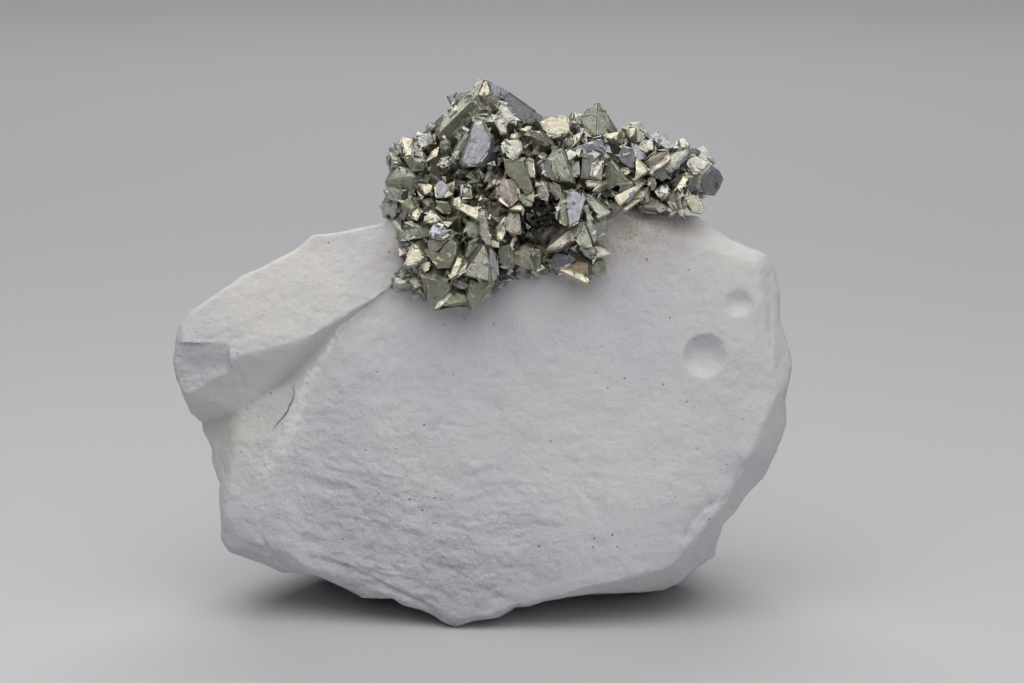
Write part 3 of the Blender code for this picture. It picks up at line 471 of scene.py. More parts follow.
def chalk_field(points):
    """Negative inside the chalk block."""
    face = soft_max(breaks_field(points, FRONT_BREAKS), 0.18)
    lobe = soft_max(breaks_field(points, LOBE_BREAKS), 0.3)
    slab = soft_max(breaks_field(points, SLAB_BREAKS), 0.15)
    front = -soft_max([-face, -lobe, -slab], 0.06)
    back = soft_max(breaks_field(points, BACK_BREAKS), 0.8)
    body = soft_max([front, outline_field(points), back], 0.25)
    body = np.maximum(body, notch_field(points))
    for (a, b), rim, depth in PITS:
        radius = (rim * rim + depth * depth) / (2.0 * depth)
        centre = np.array((a, b, FACE + radius - depth))
        body = soft_max([body, radius - np.linalg.norm(points - centre, axis=1)], 0.12)
    return body


def drawn_out(ball):
    """Where rays from the plate inside the block leave it, and the rays."""
    starts = np.array(PLATE_MIDDLE) + ball * np.array(PLATE_RADII)
    rays = ball * np.array(PLATE_LEAN)
    rays /= np.linalg.norm(rays, axis=1)[:, None]
    near = np.zeros(len(rays))
    far = np.full(len(rays), FARTHEST)
    for step in range(HALVINGS):
        middle = 0.5 * (near + far)
        inside = chalk_field(starts + rays * middle[:, None]) < 0.0
        near = np.where(inside, middle, near)
        far = np.where(inside, far, middle)
    return starts + rays * far[:, None], rays


def step_at(height):
    """Size in mm of the sheet's steps as seen at a height above the face's frame."""
    return STEP * (VIEW - height) / VIEW


def on_sheet(points):
    """Where points of the face frame show on the sheet."""
    reach = step_at(points[:, 2])
    return np.column_stack((SHEET_MIDDLE[0] + points[:, 0] / reach, SHEET_MIDDLE[1] - points[:, 1] / reach))


def path_field(spots, path):
    """Distance in mm from a path on the sheet, positive to the right of the way it runs, and the
    share of the path's length at the nearest point."""
    corners = np.array(path, dtype=float)
    lengths = np.linalg.norm(np.diff(corners, axis=0), axis=1)
    nearest = np.full(len(spots), 1.0e9)
    side = np.ones(len(spots))
    share = np.zeros(len(spots))
    passed = 0.0
    for start, end, length in zip(corners, corners[1:], lengths):
        edge = end - start
        away = spots - start
        raw = away @ edge / (length * length)
        along = np.clip(raw, 0.0, 1.0)
        gap = np.hypot(*(away - along[:, None] * edge).T)
        closer = gap < nearest
        nearest = np.where(closer, gap, nearest)
        turn = edge[0] * away[:, 1] - edge[1] * away[:, 0]
        side = np.where(closer, np.sign(turn), side)
        share = np.where(closer, (passed + raw * length) / lengths.sum(), share)
        passed += length
    return nearest * side * STEP, share


def noise_at(points, sizes, shift):
    """Smooth noise, about -1 to 1, whose swells have one size in mm, or one each along a, b and w."""
    scaled = points / np.array(sizes) + np.array(shift)
    return np.array([noise.noise(spot) for spot in scaled.tolist()])


def smooth_step(value, low, high):
    """Smooth rise from 0 at low to 1 at high."""
    t = np.clip((value - low) / (high - low), 0.0, 1.0)
    return t * t * (3.0 - 2.0 * t)


def unevenness(points):
    """Low swells and finer roughness of broken chalk, mm."""
    swell = noise_at(points, 17.0, (0.0, 0.0, 0.0)) * 0.55
    rough = noise_at(points, 5.5, (7.0, 3.0, 1.0)) * 0.22
    return swell + rough


def face_normals(shape, places):
    """Normals at the mesh's corners, in the face frame."""
    for vert, place in zip(shape.verts, places):
        vert.co = place
    shape.normal_update()
    return np.array([vert.normal[:] for vert in shape.verts])


def ledge_relief(spots):
    """Low broken ledges of the front."""
    height = np.zeros(len(spots))
    for path, drop, fade in LEDGES:
        gap, share = path_field(spots, path)
        ends = smooth_step(share, -0.02, 0.2) * smooth_step(1.02 - share, 0.0, 0.2)
        height -= drop * ends * smooth_step(gap, -0.05, 0.18) * np.exp(-np.maximum(gap, 0.0) / fade)
    return height


def oval_field(spots, oval):
    """0 in the middle of an oval on the sheet and 1 at its rim."""
    (right, down), (wide, tall) = oval
    return ((spots[:, 0] - right) / wide) ** 2 + ((spots[:, 1] - down) / tall) ** 2


def bedding_relief(points, spots):
    """Wavy ridges along the bedding in the lower half of the front, mm."""
    share = smooth_step(1.3 - oval_field(spots, BEDDING), 0.0, 0.9)
    faint = smooth_step(spots[:, 1], 380.0, 470.0) * 0.25
    slope = points.copy()
    slope[:, 1] += 0.22 * (points[:, 0] + 6.0) * smooth_step(-points[:, 0], 0.0, 18.0)
    slope[:, 1] += 0.45 * noise_at(points, (8.0, 5.0, 4.0), (3.0, 9.0, 4.0))
    wide = noise_at(slope, (10.0, 1.6, 4.0), (1.0, 2.0, 5.0))
    fine = noise_at(slope, (4.2, 0.7, 2.0), (8.0, 2.0, 1.0))
    patchy = 0.35 + 0.65 * smooth_step(noise_at(points, (9.0, 5.0, 9.0), (5.0, 5.0, 1.0)), -0.35, 0.35)
    broken = (wide * 0.3 + (0.3 - np.abs(fine)) * 0.3) * patchy
    return broken * np.maximum(share, faint)


def rim_relief(points, spots):
    """Crumbs of the crushed rim, and the crack beside it, mm."""
    gap, share = path_field(spots, CRUSHED_RIM)
    ends = smooth_step(share, 0.02, 0.1) * smooth_step(1.0 - share, 0.0, 0.1)
    width = 0.35 + 0.75 * smooth_step(share, 0.3, 0.6)
    wander = gap + 0.5 * width + 0.5 * noise_at(points, 3.0, (4.0, 2.0, 6.0)) * width
    near = np.exp(-(wander / width) ** 2) * ends
    crumbs = noise_at(points, 2.1, (1.0, 1.0, 8.0)) * 0.3
    crumbs += noise_at(points, 0.7, (2.0, 7.0, 3.0)) * 0.15
    lift = 0.2 + crumbs
    gap, share = path_field(spots, CRACK)
    ends = smooth_step(share, -0.05, 0.25) * smooth_step(1.05 - share, 0.0, 0.5)
    wander = gap + 0.2 * noise_at(points, 0.7, (5.0, 1.0, 2.0))
    groove = np.exp(-(wander / 0.1) ** 2) * ends
    return near * lift - 0.5 * groove, groove, near


def grain_relief(points, tall):
    """Crumbly grain all over, mm, rougher where tall is 1."""
    coarse = noise_at(points, 2.3, (4.0, 4.0, 9.0))
    middle = noise_at(points, 1.0, (6.0, 1.0, 3.0))
    fine = noise_at(points, 0.5, (2.0, 8.0, 2.0))
    pocked = np.maximum(0.0, noise_at(points, (1.6, 1.3, 1.6), (9.0, 2.0, 7.0)) - 0.25)
    grain = coarse * 0.17 + middle * 0.085 - pocked * 0.35
    return grain * (0.4 + 0.6 * tall) + fine * 0.035


def back_relief(points):
    """Shallow broken hollows and ridges of the back, mm."""
    hollows = np.abs(noise_at(points, (11.0, 8.0, 11.0), (3.0, 1.0, 7.0)))
    ridges = 0.3 - np.abs(noise_at(points, (5.0, 2.6, 5.0), (6.0, 6.0, 2.0)))
    return hollows * 0.9 + ridges * 0.5 - 0.35


def wanted_length(spots, front):
    """Longest edge that the chalk's mesh may have, in mm."""
    wanted = np.where(front, FRONT_EDGE, OTHER_EDGE)
    for path, reach, length in ((CRACK, RIM_REACH, RIM_EDGE), (CRUSHED_RIM, RIM_REACH, RIM_EDGE),
                                (CRACK, CRACK_REACH, CRACK_EDGE)):
        gap = path_field(spots, path)[0]
        wanted = np.where((np.abs(gap) < reach) & front, length, wanted)
    return wanted


def refined_ball():
    """A ball whose triangles are smaller where the front of the block has detail."""
    shape = bmesh.new()
    bmesh.ops.create_icosphere(shape, subdivisions=BALL_SPLITS, radius=1.0)
    ball = np.array([vert.co[:] for vert in shape.verts])
    places = drawn_out(ball)[0]
    for turn in range(MORE_SPLITS):
        shape.verts.index_update()
        ends = np.array([(edge.verts[0].index, edge.verts[1].index) for edge in shape.edges])
        lengths = np.linalg.norm(places[ends[:, 0]] - places[ends[:, 1]], axis=1)
        middles = 0.5 * (places[ends[:, 0]] + places[ends[:, 1]])
        front = ball[ends[:, 0], 2] > 0.0
        long = lengths > wanted_length(on_sheet(middles), front)
        edges = [edge for edge, chosen in zip(shape.edges, long) if chosen]
        if not edges:
            break
        known = len(places)
        bmesh.ops.subdivide_edges(shape, edges=edges, cuts=1)
        bmesh.ops.triangulate(shape, faces=shape.faces[:])
        shape.verts.ensure_lookup_table()
        added = shape.verts[known:]
        for vert in added:
            vert.co.normalize()
        fresh = np.array([vert.co[:] for vert in added])
        ball = np.vstack((ball, fresh))
        places = np.vstack((places, drawn_out(fresh)[0]))
    return shape


def blots(spots, table):
    """Sum of soft round patches on the sheet."""
    total = np.zeros(len(spots))
    for (right, down), radius, strength in table:
        far = np.hypot(spots[:, 0] - right, spots[:, 1] - down) / radius
        total += strength * np.exp(-far * far)
    return total


def new_object(name, mesh):
    obj = bpy.data.objects.new(name, mesh)
    bpy.context.scene.collection.objects.link(obj)
    return obj


def mark(mesh, name, kind, domain, values):
    """Keeps values at a mesh's corners or faces, for its material."""
    layer = mesh.attributes.new(name, kind, domain)
    key = "value" if kind == "FLOAT" else "vector"
    layer.data.foreach_set(key, np.array(values, dtype=np.float32).ravel())


def keep_in_box(mesh):
    """Moves the corners that are a little outside the CAD model's box into it."""
    low, high = cad_bounds
    for vert in mesh.vertices:
        vert.co = [min(max(vert.co[i], low[i]), high[i]) for i in range(3)]


def stand_up(mesh):
    """Puts the chalk's mesh in its place in the world, and cuts it off flat at the floor."""
    shape = bmesh.new()
    shape.from_mesh(mesh)
    bmesh.ops.transform(shape, matrix=FACE_TO_WORLD, verts=shape.verts[:])
    everything = shape.verts[:] + shape.edges[:] + shape.faces[:]
    made = bmesh.ops.bisect_plane(shape, geom=everything, plane_co=(0, 0, 0), plane_no=(0, 0, -1),
                                  clear_outer=True)
    rim = [item for item in made["geom_cut"] if isinstance(item, bmesh.types.BMEdge)]
    bmesh.ops.contextual_create(shape, geom=rim)
    bmesh.ops.triangulate(shape, faces=shape.faces[:])
    bmesh.ops.recalc_face_normals(shape, faces=shape.faces[:])
    for face in shape.faces:
        face.smooth = True
    shape.to_mesh(mesh)
    shape.free()


def chalk_piece():
    """The chalk block with its crumbly grain, bedding, ledges, crushed rim and crack."""
    shape = refined_ball()
    places, rays = drawn_out(np.array([vert.co[:] for vert in shape.verts]))
    places += rays * unevenness(places)[:, None]
    normals = face_normals(shape, places)
    front = smooth_step(normals[:, 2], 0.35, 0.75)
    back = smooth_step(-normals[:, 2], 0.1, 0.7)
    spots = on_sheet(places)
    smooth = front * np.exp(-oval_field(spots, SMOOTH))
    rough = front * blots(spots, ROUGH)
    rim, groove, crushed = rim_relief(places, spots)
    lift = front * (ledge_relief(spots) + bedding_relief(places, spots) + rim)
    lift += back * back_relief(places)
    lift += grain_relief(places, (1.0 - 0.75 * smooth) * (1.0 + 1.5 * rough))
    places += normals * (lift - RELIEF_SINK)[:, None]
    for vert, place in zip(shape.verts, places):
        vert.co = place
    mesh = bpy.data.meshes.new("chalk_block")
    shape.to_mesh(mesh)
    shape.free()
    marks = {
        # the front's patches carry painted light and painted shade; all faces but the front are made a
        # little cooler and darker as painted shade
        "warmth_light_and_shade": front * blots(spots, TONES_LIGHT_AND_SHADE) - 0.25 * (1.0 - front),
        "stain": blots(spots, STAINS) * (places[:, 2] > STAIN_LEVEL),
        # the crack's groove, darkened in the material as painted shade
        "crack": groove * front,
        "crushed": crushed * front,
        "rough": 0.35 + rough - 0.3 * smooth,
    }
    for name, values in marks.items():
        mark(mesh, name, "FLOAT", "POINT", values)
    stand_up(mesh)
    keep_in_box(mesh)
    return new_object("chalk_block", mesh)


# Colours of the crystals' faces, and how frosted they are. The hues are tarnish colours, and the tints also
# set
# how light each face looks: the brightest is a painted highlight for faces turned to the overhead light,
# and the darkest are painted shade for faces that look dark and for small crystals in the gaps
TINTS_AND_PAINTED_LIGHT = {
    "cream_glint": ((0.59, 0.56, 0.45), 0.35),
    "pale": ((0.51, 0.51, 0.455), 0.38),
    "grey": ((0.48, 0.49, 0.47), 0.40),
    "green": ((0.43, 0.45, 0.38), 0.42),
    "olive": ((0.36, 0.37, 0.29), 0.44),
    "lilac": ((0.42, 0.43, 0.475), 0.44),
    "brown": ((0.44, 0.40, 0.36), 0.44),
    "slate_shaded": ((0.26, 0.275, 0.285), 0.38),
    "dark": ((0.23, 0.20, 0.15), 0.40),
    "rust": ((0.33, 0.27, 0.19), 0.46),
}
# Painted shade: the dark colour of the masses' middles, seen in the gaps between crystals
CORE_SHADE_COLOUR = (0.19, 0.165, 0.12)
CORE_FROST = 0.5
CORE_SIZE = 0.87               # the middles, coloured dark as painted shade in the gaps, against the masses that CORES gives
CORE_LUMPS = ((4.3, 0.3), (14.0, 0.08))          # how close together their lumps are, and how high
FRONT_SEED = 7
FILL_SEED = 21
BACK_SEED = 5
EDGE_HIGHLIGHT = 1.4               # painted highlight: how much lighter the crystals' bevelled edges are coloured than their faces
STOUT = 2.1                    # a face wider than this in mm, from its middle, has straight sides
BROAD = 2.6                    # and one wider than this is always flat
BACKGROUND = 9.1               # crystals no higher than this, in mm, show their plain edges behind the rest
BEVEL = 0.045                  # width of the crystals' bevelled edges, which are coloured lighter as a painted highlight, mm
SLIGHT_BEVEL = 0.03            # the same on spears wider than SLENDER, mm
SLENDER = 1.6
STRAY = 2.5                    # small crystals show no further outside the cluster's outline, sheet steps
ROOM_BELOW = 3.0


def seen(right, down, height):
    """The place at a height above the face's frame that shows at a spot on the sheet."""
    reach = step_at(height)
    return Vector(((right - SHEET_MIDDLE[0]) * reach, (SHEET_MIDDLE[1] - down) * reach, height))


def nearest_core(place):
    """The middle of the mass that a crystal has grown from."""
    middles = [Vector(middle) for middle, radii in CORES]
    return min(middles, key=lambda middle: (place.xy - middle.xy).length)


class Druse:
    """Many crystals gathered into one mesh."""

    def __init__(self):
        self.corners = []
        self.faces = []
        self.colours = []
        self.frosts = []
        self.grains = []

    def add(self, points, tint, along, out, bevel=BEVEL, shade=1.0):
        """A crystal: the hull of the points, with narrow bevels coloured lighter as a painted highlight."""
        shape = bmesh.new()
        for point in points:
            shape.verts.new(point)
        hull = bmesh.ops.convex_hull(shape, input=shape.verts[:])
        spare = [item for item in hull["geom_interior"] if isinstance(item, bmesh.types.BMVert)]
        bmesh.ops.delete(shape, geom=spare, context="VERTS")
        bmesh.ops.dissolve_limit(shape, angle_limit=math.radians(4.0), verts=shape.verts[:],
                                 edges=shape.edges[:])
        edge_faces = set()
        if bevel > 0.0:
            flats = bmesh.ops.bevel(shape, geom=shape.edges[:], offset=bevel, offset_type="OFFSET",
                                    segments=1, affect="EDGES", clamp_overlap=True)
            edge_faces = set(flats["faces"])
        bmesh.ops.recalc_face_normals(shape, faces=shape.faces[:])
        shape.verts.index_update()
        across = along.cross(out).normalized()
        first = len(self.corners)
        middle = sum(points, Vector()) / len(points)
        colour, frost = TINTS_AND_PAINTED_LIGHT[tint]
        for vert in shape.verts:
            away = vert.co - middle
            self.corners.append(vert.co[:])
            self.grains.append((away.dot(across), away.dot(along), away.dot(out)))
        for face in shape.faces:
            self.faces.append([first + vert.index for vert in face.verts])
            # bevel faces are coloured lighter as a painted highlight
            bright = shade * EDGE_HIGHLIGHT if face in edge_faces else shade
            self.colours.append([min(0.85, channel * bright) for channel in colour])
            self.frosts.append(frost)
        shape.free()

    def piece(self, name):
        mesh = bpy.data.meshes.new(name)
        mesh.from_pydata(self.corners, [], self.faces)
        mesh.transform(FACE_TO_WORLD)
        keep_in_box(mesh)
        mark(mesh, "tint", "FLOAT_VECTOR", "FACE", self.colours)
        mark(mesh, "frost", "FLOAT", "FACE", self.frosts)
        mark(mesh, "grain", "FLOAT_VECTOR", "POINT", self.grains)
        return new_object(name, mesh)


def longest_way(points):
    """Direction of the longest line between two corners of a face."""
    pairs = [(first - second) for first in points for second in points]
    return max(pairs, key=lambda line: line.length).normalized()


def shrunk(points, anchor, along, share, across_share):
    """The points drawn in towards an anchor, by different shares along a direction and across it."""
    drawn = []
    for point in points:
        away = point - anchor
        lengthwise = along * away.dot(along)
        drawn.append(anchor + lengthwise * share + (away - lengthwise) * across_share)
    return drawn


# A main face: its corners and middle, the way it faces, its size, its colour key (which also carries
# painted light and shade) and its shade
Face = namedtuple("Face", "corners middle normal spread tint shade")


def middle_of(corners):
    return [sum(corner[i] for corner in corners) / len(corners) for i in range(2)]


def face_crystal(druse, row, chance):
    """A crystal with a main face, slanting rims, a root in the mass and growth steps."""
    tint, height, heading, turn, corners = row
    middle = seen(*middle_of(corners), height)
    normal = Vector(facing(heading, turn))
    front = []
    for corner in corners:
        flat = seen(*corner, height)
        slope = normal.xy.dot(flat.xy - middle.xy) / normal.z
        front.append(seen(*corner, height - slope))
    spread = sum((point - middle).length for point in front) / len(front)
    core = nearest_core(middle)
    root = middle + (core - middle) * min(1.0, 1.6 * spread / (core - middle).length + 0.35)
    along = longest_way(front)
    across = along.cross(normal).normalized()
    shade = chance.uniform(0.86, 1.12)
    lean = [chance.uniform(-0.25, 0.25), chance.uniform(-0.25, 0.25)]
    flat_chance = 0.65 if spread > 1.3 else 0.4
    if spread > BROAD or tint == "cream_glint" or chance.random() < flat_chance:
        # a flat face
        shares = (chance.uniform(0.84, 0.96), chance.uniform(0.78, 0.94))
        drop = spread * chance.uniform(0.12, 0.24)
    elif chance.random() < 0.6:
        # a ridge like a roof's
        shares = (chance.uniform(0.72, 0.95), chance.uniform(0.02, 0.15))
        drop = spread * chance.uniform(0.25, 0.45)
    else:
        # a low pyramid
        shares = (chance.uniform(0.1, 0.3), chance.uniform(0.05, 0.2))
        drop = spread * chance.uniform(0.35, 0.55)
    anchor = middle + along * lean[0] * spread + across * lean[1] * spread
    top = [point + normal * drop * 0.4 for point in shrunk(front, anchor, along, *shares)]
    rim = [point - normal * drop * 0.6 for point in front]
    sides = [point - normal * spread * 0.7 for point in front] if spread > STOUT else []
    bevel = min(BEVEL, spread * 0.04)
    druse.add(top + rim + sides + [root], tint, along, normal, bevel, shade)
    face = Face(front, middle, normal, spread, tint, shade)
    if min(shares) > 0.4:
        growth_steps(druse, face, top, along, chance)
    if height > BACKGROUND:
        side_blades(druse, face, chance)
    small_tips(druse, face, chance)
    shards(druse, face, chance)


def leaning(normal, amount, chance):
    """A way near a face's normal."""
    lean = normal + Vector([chance.uniform(-amount, amount) for i in range(3)])
    return lean.normalized()


def hue_beside(tint, share, chance):
    """A face's own tint, or another of the blades' tints."""
    return tint if chance.random() < share else chance.choice(BLADE_TINTS)


def growth_steps(druse, face, top, along, chance):
    """Thin plates that lie on a face, each smaller than the one beneath it."""
    if face.spread < 1.0 or chance.random() < 0.4:
        return
    anchor = top[chance.randrange(len(top))].lerp(face.middle, chance.uniform(0.0, 0.6))
    scale = 1.0
    rise = 0.0
    for step in range(1 + int(face.spread > 2.0)):
        scale *= chance.uniform(0.62, 0.88)
        rise += chance.uniform(0.03, 0.08)
        plate = [anchor + (point - anchor) * scale + face.normal * rise for point in top]
        foot = [anchor + (point - anchor) * (scale + 0.03) - face.normal * 0.1 for point in top]
        druse.add(plate + foot, face.tint, along, face.normal, 0.03, face.shade * chance.uniform(0.9, 1.1))


def side_blades(druse, face, chance):
    """Narrow blades grown beside a face, along its edges."""
    normal = face.normal
    for start, end in zip(face.corners, face.corners[1:] + face.corners[:1]):
        length = (end - start).length
        if length < 1.0 or chance.random() < 0.5:
            continue
        inward = (face.middle - start.lerp(end, 0.5)).normalized()
        begin = chance.uniform(0.0, 0.35)
        finish = chance.uniform(0.7, 1.0)
        width = min(face.spread * 0.5, chance.uniform(0.25, 0.7))
        lift = chance.uniform(0.05, 0.3)
        slope = chance.uniform(-0.35, 0.35)
        out = inward * -chance.uniform(0.0, 0.22)
        near = start.lerp(end, begin) + out
        far = start.lerp(end, finish) + out
        taper = chance.uniform(0.1, 0.7)
        ridge = [near + normal * lift, far + normal * (lift + slope * 0.3)]
        back = [near + inward * width * taper + normal * (lift - slope * width),
                far + inward * width + normal * (lift - slope * width)]
        foot = [point - normal * (0.5 + lift) for point in ridge + back]
        hue = hue_beside(face.tint, 0.6, chance)
        along = (far - near).normalized()
        druse.add(ridge + back + foot, hue, along, normal, 0.02, face.shade * chance.uniform(0.75, 1.25))


def shard(druse, place, normal, size, tint, shade, chance):
    """A small sharp three-cornered crystal that lies on a face."""
    lean = leaning(normal, 0.4, chance)
    along = lean.orthogonal().normalized()
    along.rotate(Matrix.Rotation(chance.uniform(0.0, 2.0 * math.pi), 3, lean))
    across = lean.cross(along)
    tip = place + along * size * 0.75 + lean * size * chance.uniform(0.1, 0.35)
    if not inside_shape(sheet_spot(tip), CLUSTER_OUTLINE):
        return
    width = size * chance.uniform(0.25, 0.5)
    heel = place - along * size * 0.35 + lean * size * chance.uniform(0.0, 0.3)
    top = [tip, heel + across * width, heel - across * width * chance.uniform(0.6, 1.0)]
    foot = [place + (point - place) * 0.8 - normal * size * 0.6 for point in top]
    druse.add(top + foot, tint, along, lean, 0.0, shade)


def shards(druse, face, chance):
    """Small sharp crystals scattered over a face, more of them towards its corners."""
    count = int(1.5 + face.spread * face.spread * 1.1)
    if face.tint == "cream_glint":
        count = count // 2
    for number in range(count):
        corner = chance.choice(face.corners)
        inwards = chance.uniform(0.0, 0.6)
        side = chance.choice(face.corners)
        place = corner.lerp(face.middle, inwards).lerp(side, chance.uniform(0.0, 0.3))
        size = chance.uniform(0.6, 1.7) * (1.0 - 0.5 * inwards)
        hue = hue_beside(face.tint, 0.5, chance)
        shade = face.shade * chance.uniform(0.7, 1.3)
        place += face.normal * chance.uniform(-0.05, 0.15)
        shard(druse, place, face.normal, size, hue, shade, chance)


def small_tips(druse, face, chance):
    """Small spear tips that stand on a face's corners."""
    for corner in face.corners:
        if chance.random() < 0.6:
            continue
        size = chance.uniform(0.5, 1.25)
        anchor = corner.lerp(face.middle, chance.uniform(0.05, 0.45))
        lean = leaning(face.normal, 0.9, chance)
        tip = anchor + lean * size * chance.uniform(0.25, 0.8)
        foot = tip - lean * size * 2.0
        hue = hue_beside(face.tint, 0.5, chance)
        twist = chance.uniform(0.0, math.pi)
        if inside_shape(sheet_spot(tip), CLUSTER_OUTLINE):
            spear(druse, foot, tip, size, chance.uniform(0.35, 0.8), twist, hue, face.shade, chance)


def inside_shape(spot, outline):
    """Whether a spot on the sheet is inside an outline."""
    right, down = spot
    inside = False
    for (u0, v0), (u1, v1) in zip(outline, outline[1:] + outline[:1]):
        if (v0 > down) != (v1 > down) and right < u0 + (down - v0) * (u1 - u0) / (v1 - v0):
            inside = not inside
    return inside


def well_inside(spot, margin=5.0):
    """Whether a spot and those around it are inside the cluster's outline, with more room below it."""
    right, down = spot
    around = [(right - margin, down), (right + margin, down), (right, down - margin),
              (right, down + margin + ROOM_BELOW)]
    return all(inside_shape(near, CLUSTER_OUTLINE) for near in around)


def strays(place):
    """Whether a place shows clearly outside the cluster's outline."""
    right, down = sheet_spot(place)
    ways = (-STRAY, 0.0, STRAY)
    return not any(inside_shape((right + u, down + v), CLUSTER_OUTLINE) for u in ways for v in ways)


def sheet_spot(place):
    """Where a place in the face's frame shows on the sheet."""
    reach = step_at(place.z)
    return SHEET_MIDDLE[0] + place.x / reach, SHEET_MIDDLE[1] - place.y / reach


def spear(druse, foot, tip, width, flatness, twist, tint, shade, chance):
    """A spear-shaped crystal: a flat prism that ends in a wedge with a sharp tip."""
    axis = (tip - foot).normalized()
    across = axis.orthogonal().normalized()
    across.rotate(Matrix.Rotation(twist, 3, axis))
    out = axis.cross(across)
    length = (tip - foot).length
    shoulder = tip - axis * min(length * 0.75, width * chance.uniform(0.85, 1.6))
    points = [tip]
    for point, grow in ((shoulder, 1.0), (foot, 0.7)):
        for side, depth in ((1.0, 0.0), (0.5, flatness), (-0.5, flatness), (-1.0, 0.0), (-0.5, -flatness),
                            (0.5, -flatness)):
            points.append(point + (across * side + out * depth) * width * 0.5 * grow)
    bevel = SLIGHT_BEVEL if width > SLENDER else 0.0
    if not any(strays(point) for point in points):
        druse.add(points, tint, axis, out, bevel, shade)


HOLLOW = ((536, 216), 27)      # the hollow between the masses, whose small crystals are coloured darker as painted shade: middle on the sheet and radius
HOLLOW_DEPTH = 1.5             # how much lower its small crystals are, mm
# how much darker the hollow's small crystals are coloured, as painted shade
HOLLOW_PAINTED_SHADE = 0.55
FILL_TRIES = 3600              # places tried for small crystals in the gaps of the front
FILL_SPANS = ((378.0, 724.0), (76.0, 308.0))     # where on the sheet they are tried
# Colour keys for small crystals: the brightest gives some of them a painted highlight, the darkest painted
# shade
BLADE_TINTS = ["pale", "pale", "grey", "green", "olive", "lilac", "cream_glint"]
FILL_TINTS = ["cream_glint", "pale", "pale", "green", "olive", "grey", "grey", "brown", "dark", "green"]
BACK_TINTS = ["cream_glint", "cream_glint", "pale", "pale", "green", "grey", "lilac", "olive", "green", "grey"]


def fill_front(druse, chance):
    """Small crystals in the gaps between the larger ones that face the viewer."""
    rows = [(middle_of(row[4]), row[1], row[4]) for row in CRYSTALS]
    for number in range(FILL_TRIES):
        spot = [chance.uniform(*span) for span in FILL_SPANS]
        sink = chance.uniform(0.1, 2.6)
        size = chance.uniform(0.8, 2.3)
        lean = Vector((chance.uniform(-0.9, 0.9), chance.uniform(-0.6, 1.0), 1.0)).normalized()
        twist = chance.uniform(0.0, math.pi)
        flatness = chance.uniform(0.35, 0.75)
        tint = chance.choice(FILL_TINTS)
        shade = chance.uniform(0.85, 1.15)
        if not well_inside(spot):
            continue
        if any(inside_shape(spot, corners) for middle, height, corners in rows):
            continue
        near = sorted(rows, key=lambda row: math.dist(row[0], spot))[:3]
        level = sum(row[1] for row in near) / 3.0
        # small crystals in the hollow sit lower and are coloured darker as painted shade
        if math.dist(spot, HOLLOW[0]) < HOLLOW[1]:
            sink += HOLLOW_DEPTH
            shade *= HOLLOW_PAINTED_SHADE
        tip = seen(*spot, level - sink)
        foot = tip - lean * size * 2.6
        spear(druse, foot, tip, size, flatness, twist, tint, shade, chance)
        if chance.random() < 0.5:
            place = tip - lean * size * 0.35
            shard(druse, place, lean, size * 0.7, chance.choice(BLADE_TINTS), shade, chance)


def clothe_back(druse, chance):
    """Spear-shaped crystals all over the back and the ends of the masses."""
    for middle, radii in CORES:
        middle = Vector(middle)
        size = (radii[0] * radii[1] * radii[2]) ** (1.0 / 3.0)
        count = int(4.0 * math.pi * size * size / 5.0)
        for number in range(count):
            level = 1.0 - 2.0 * (number + 0.5) / count
            turn = number * math.pi * (3.0 - math.sqrt(5.0))
            ring = math.sqrt(1.0 - level * level)
            away = Vector((ring * math.cos(turn), level, ring * math.sin(turn)))
            jitter = Vector([chance.uniform(-0.5, 0.5) for i in range(3)])
            reach = chance.uniform(0.6, 3.2)
            width = chance.uniform(1.5, 3.8)
            twist = chance.uniform(0.0, math.pi)
            flatness = chance.uniform(0.4, 0.75)
            tint = chance.choice(BACK_TINTS)
            shade = chance.uniform(0.85, 1.1)
            if away.z > 0.45:
                continue
            axis = (away + jitter).normalized()
            tip = middle + Vector([away[i] * radii[i] for i in range(3)]) + axis * reach
            if not well_inside(sheet_spot(tip), 0.35 * width / STEP):
                continue
            spear(druse, tip - axis * (reach + width), tip, width, flatness, twist, tint, shade, chance)


def core_mass(druse, middle, radii):
    """The lumpy middle of a mass, seen between its crystals and coloured dark as painted shade."""
    shape = bmesh.new()
    bmesh.ops.create_icosphere(shape, subdivisions=4, radius=1.0)
    first = len(druse.corners)
    for vert in shape.verts:
        (coarse, high), (fine, low) = CORE_LUMPS
        lump = CORE_SIZE + high * noise.noise(vert.co * coarse + Vector(middle))
        lump += low * noise.noise(vert.co * fine)
        place = Vector(middle) + Vector([vert.co[i] * radii[i] for i in range(3)]) * lump
        druse.corners.append(place[:])
        druse.grains.append(place[:])
    shape.verts.index_update()
    for face in shape.faces:
        druse.faces.append([first + vert.index for vert in face.verts])
        druse.colours.append(CORE_SHADE_COLOUR)
        druse.frosts.append(CORE_FROST)
    shape.free()


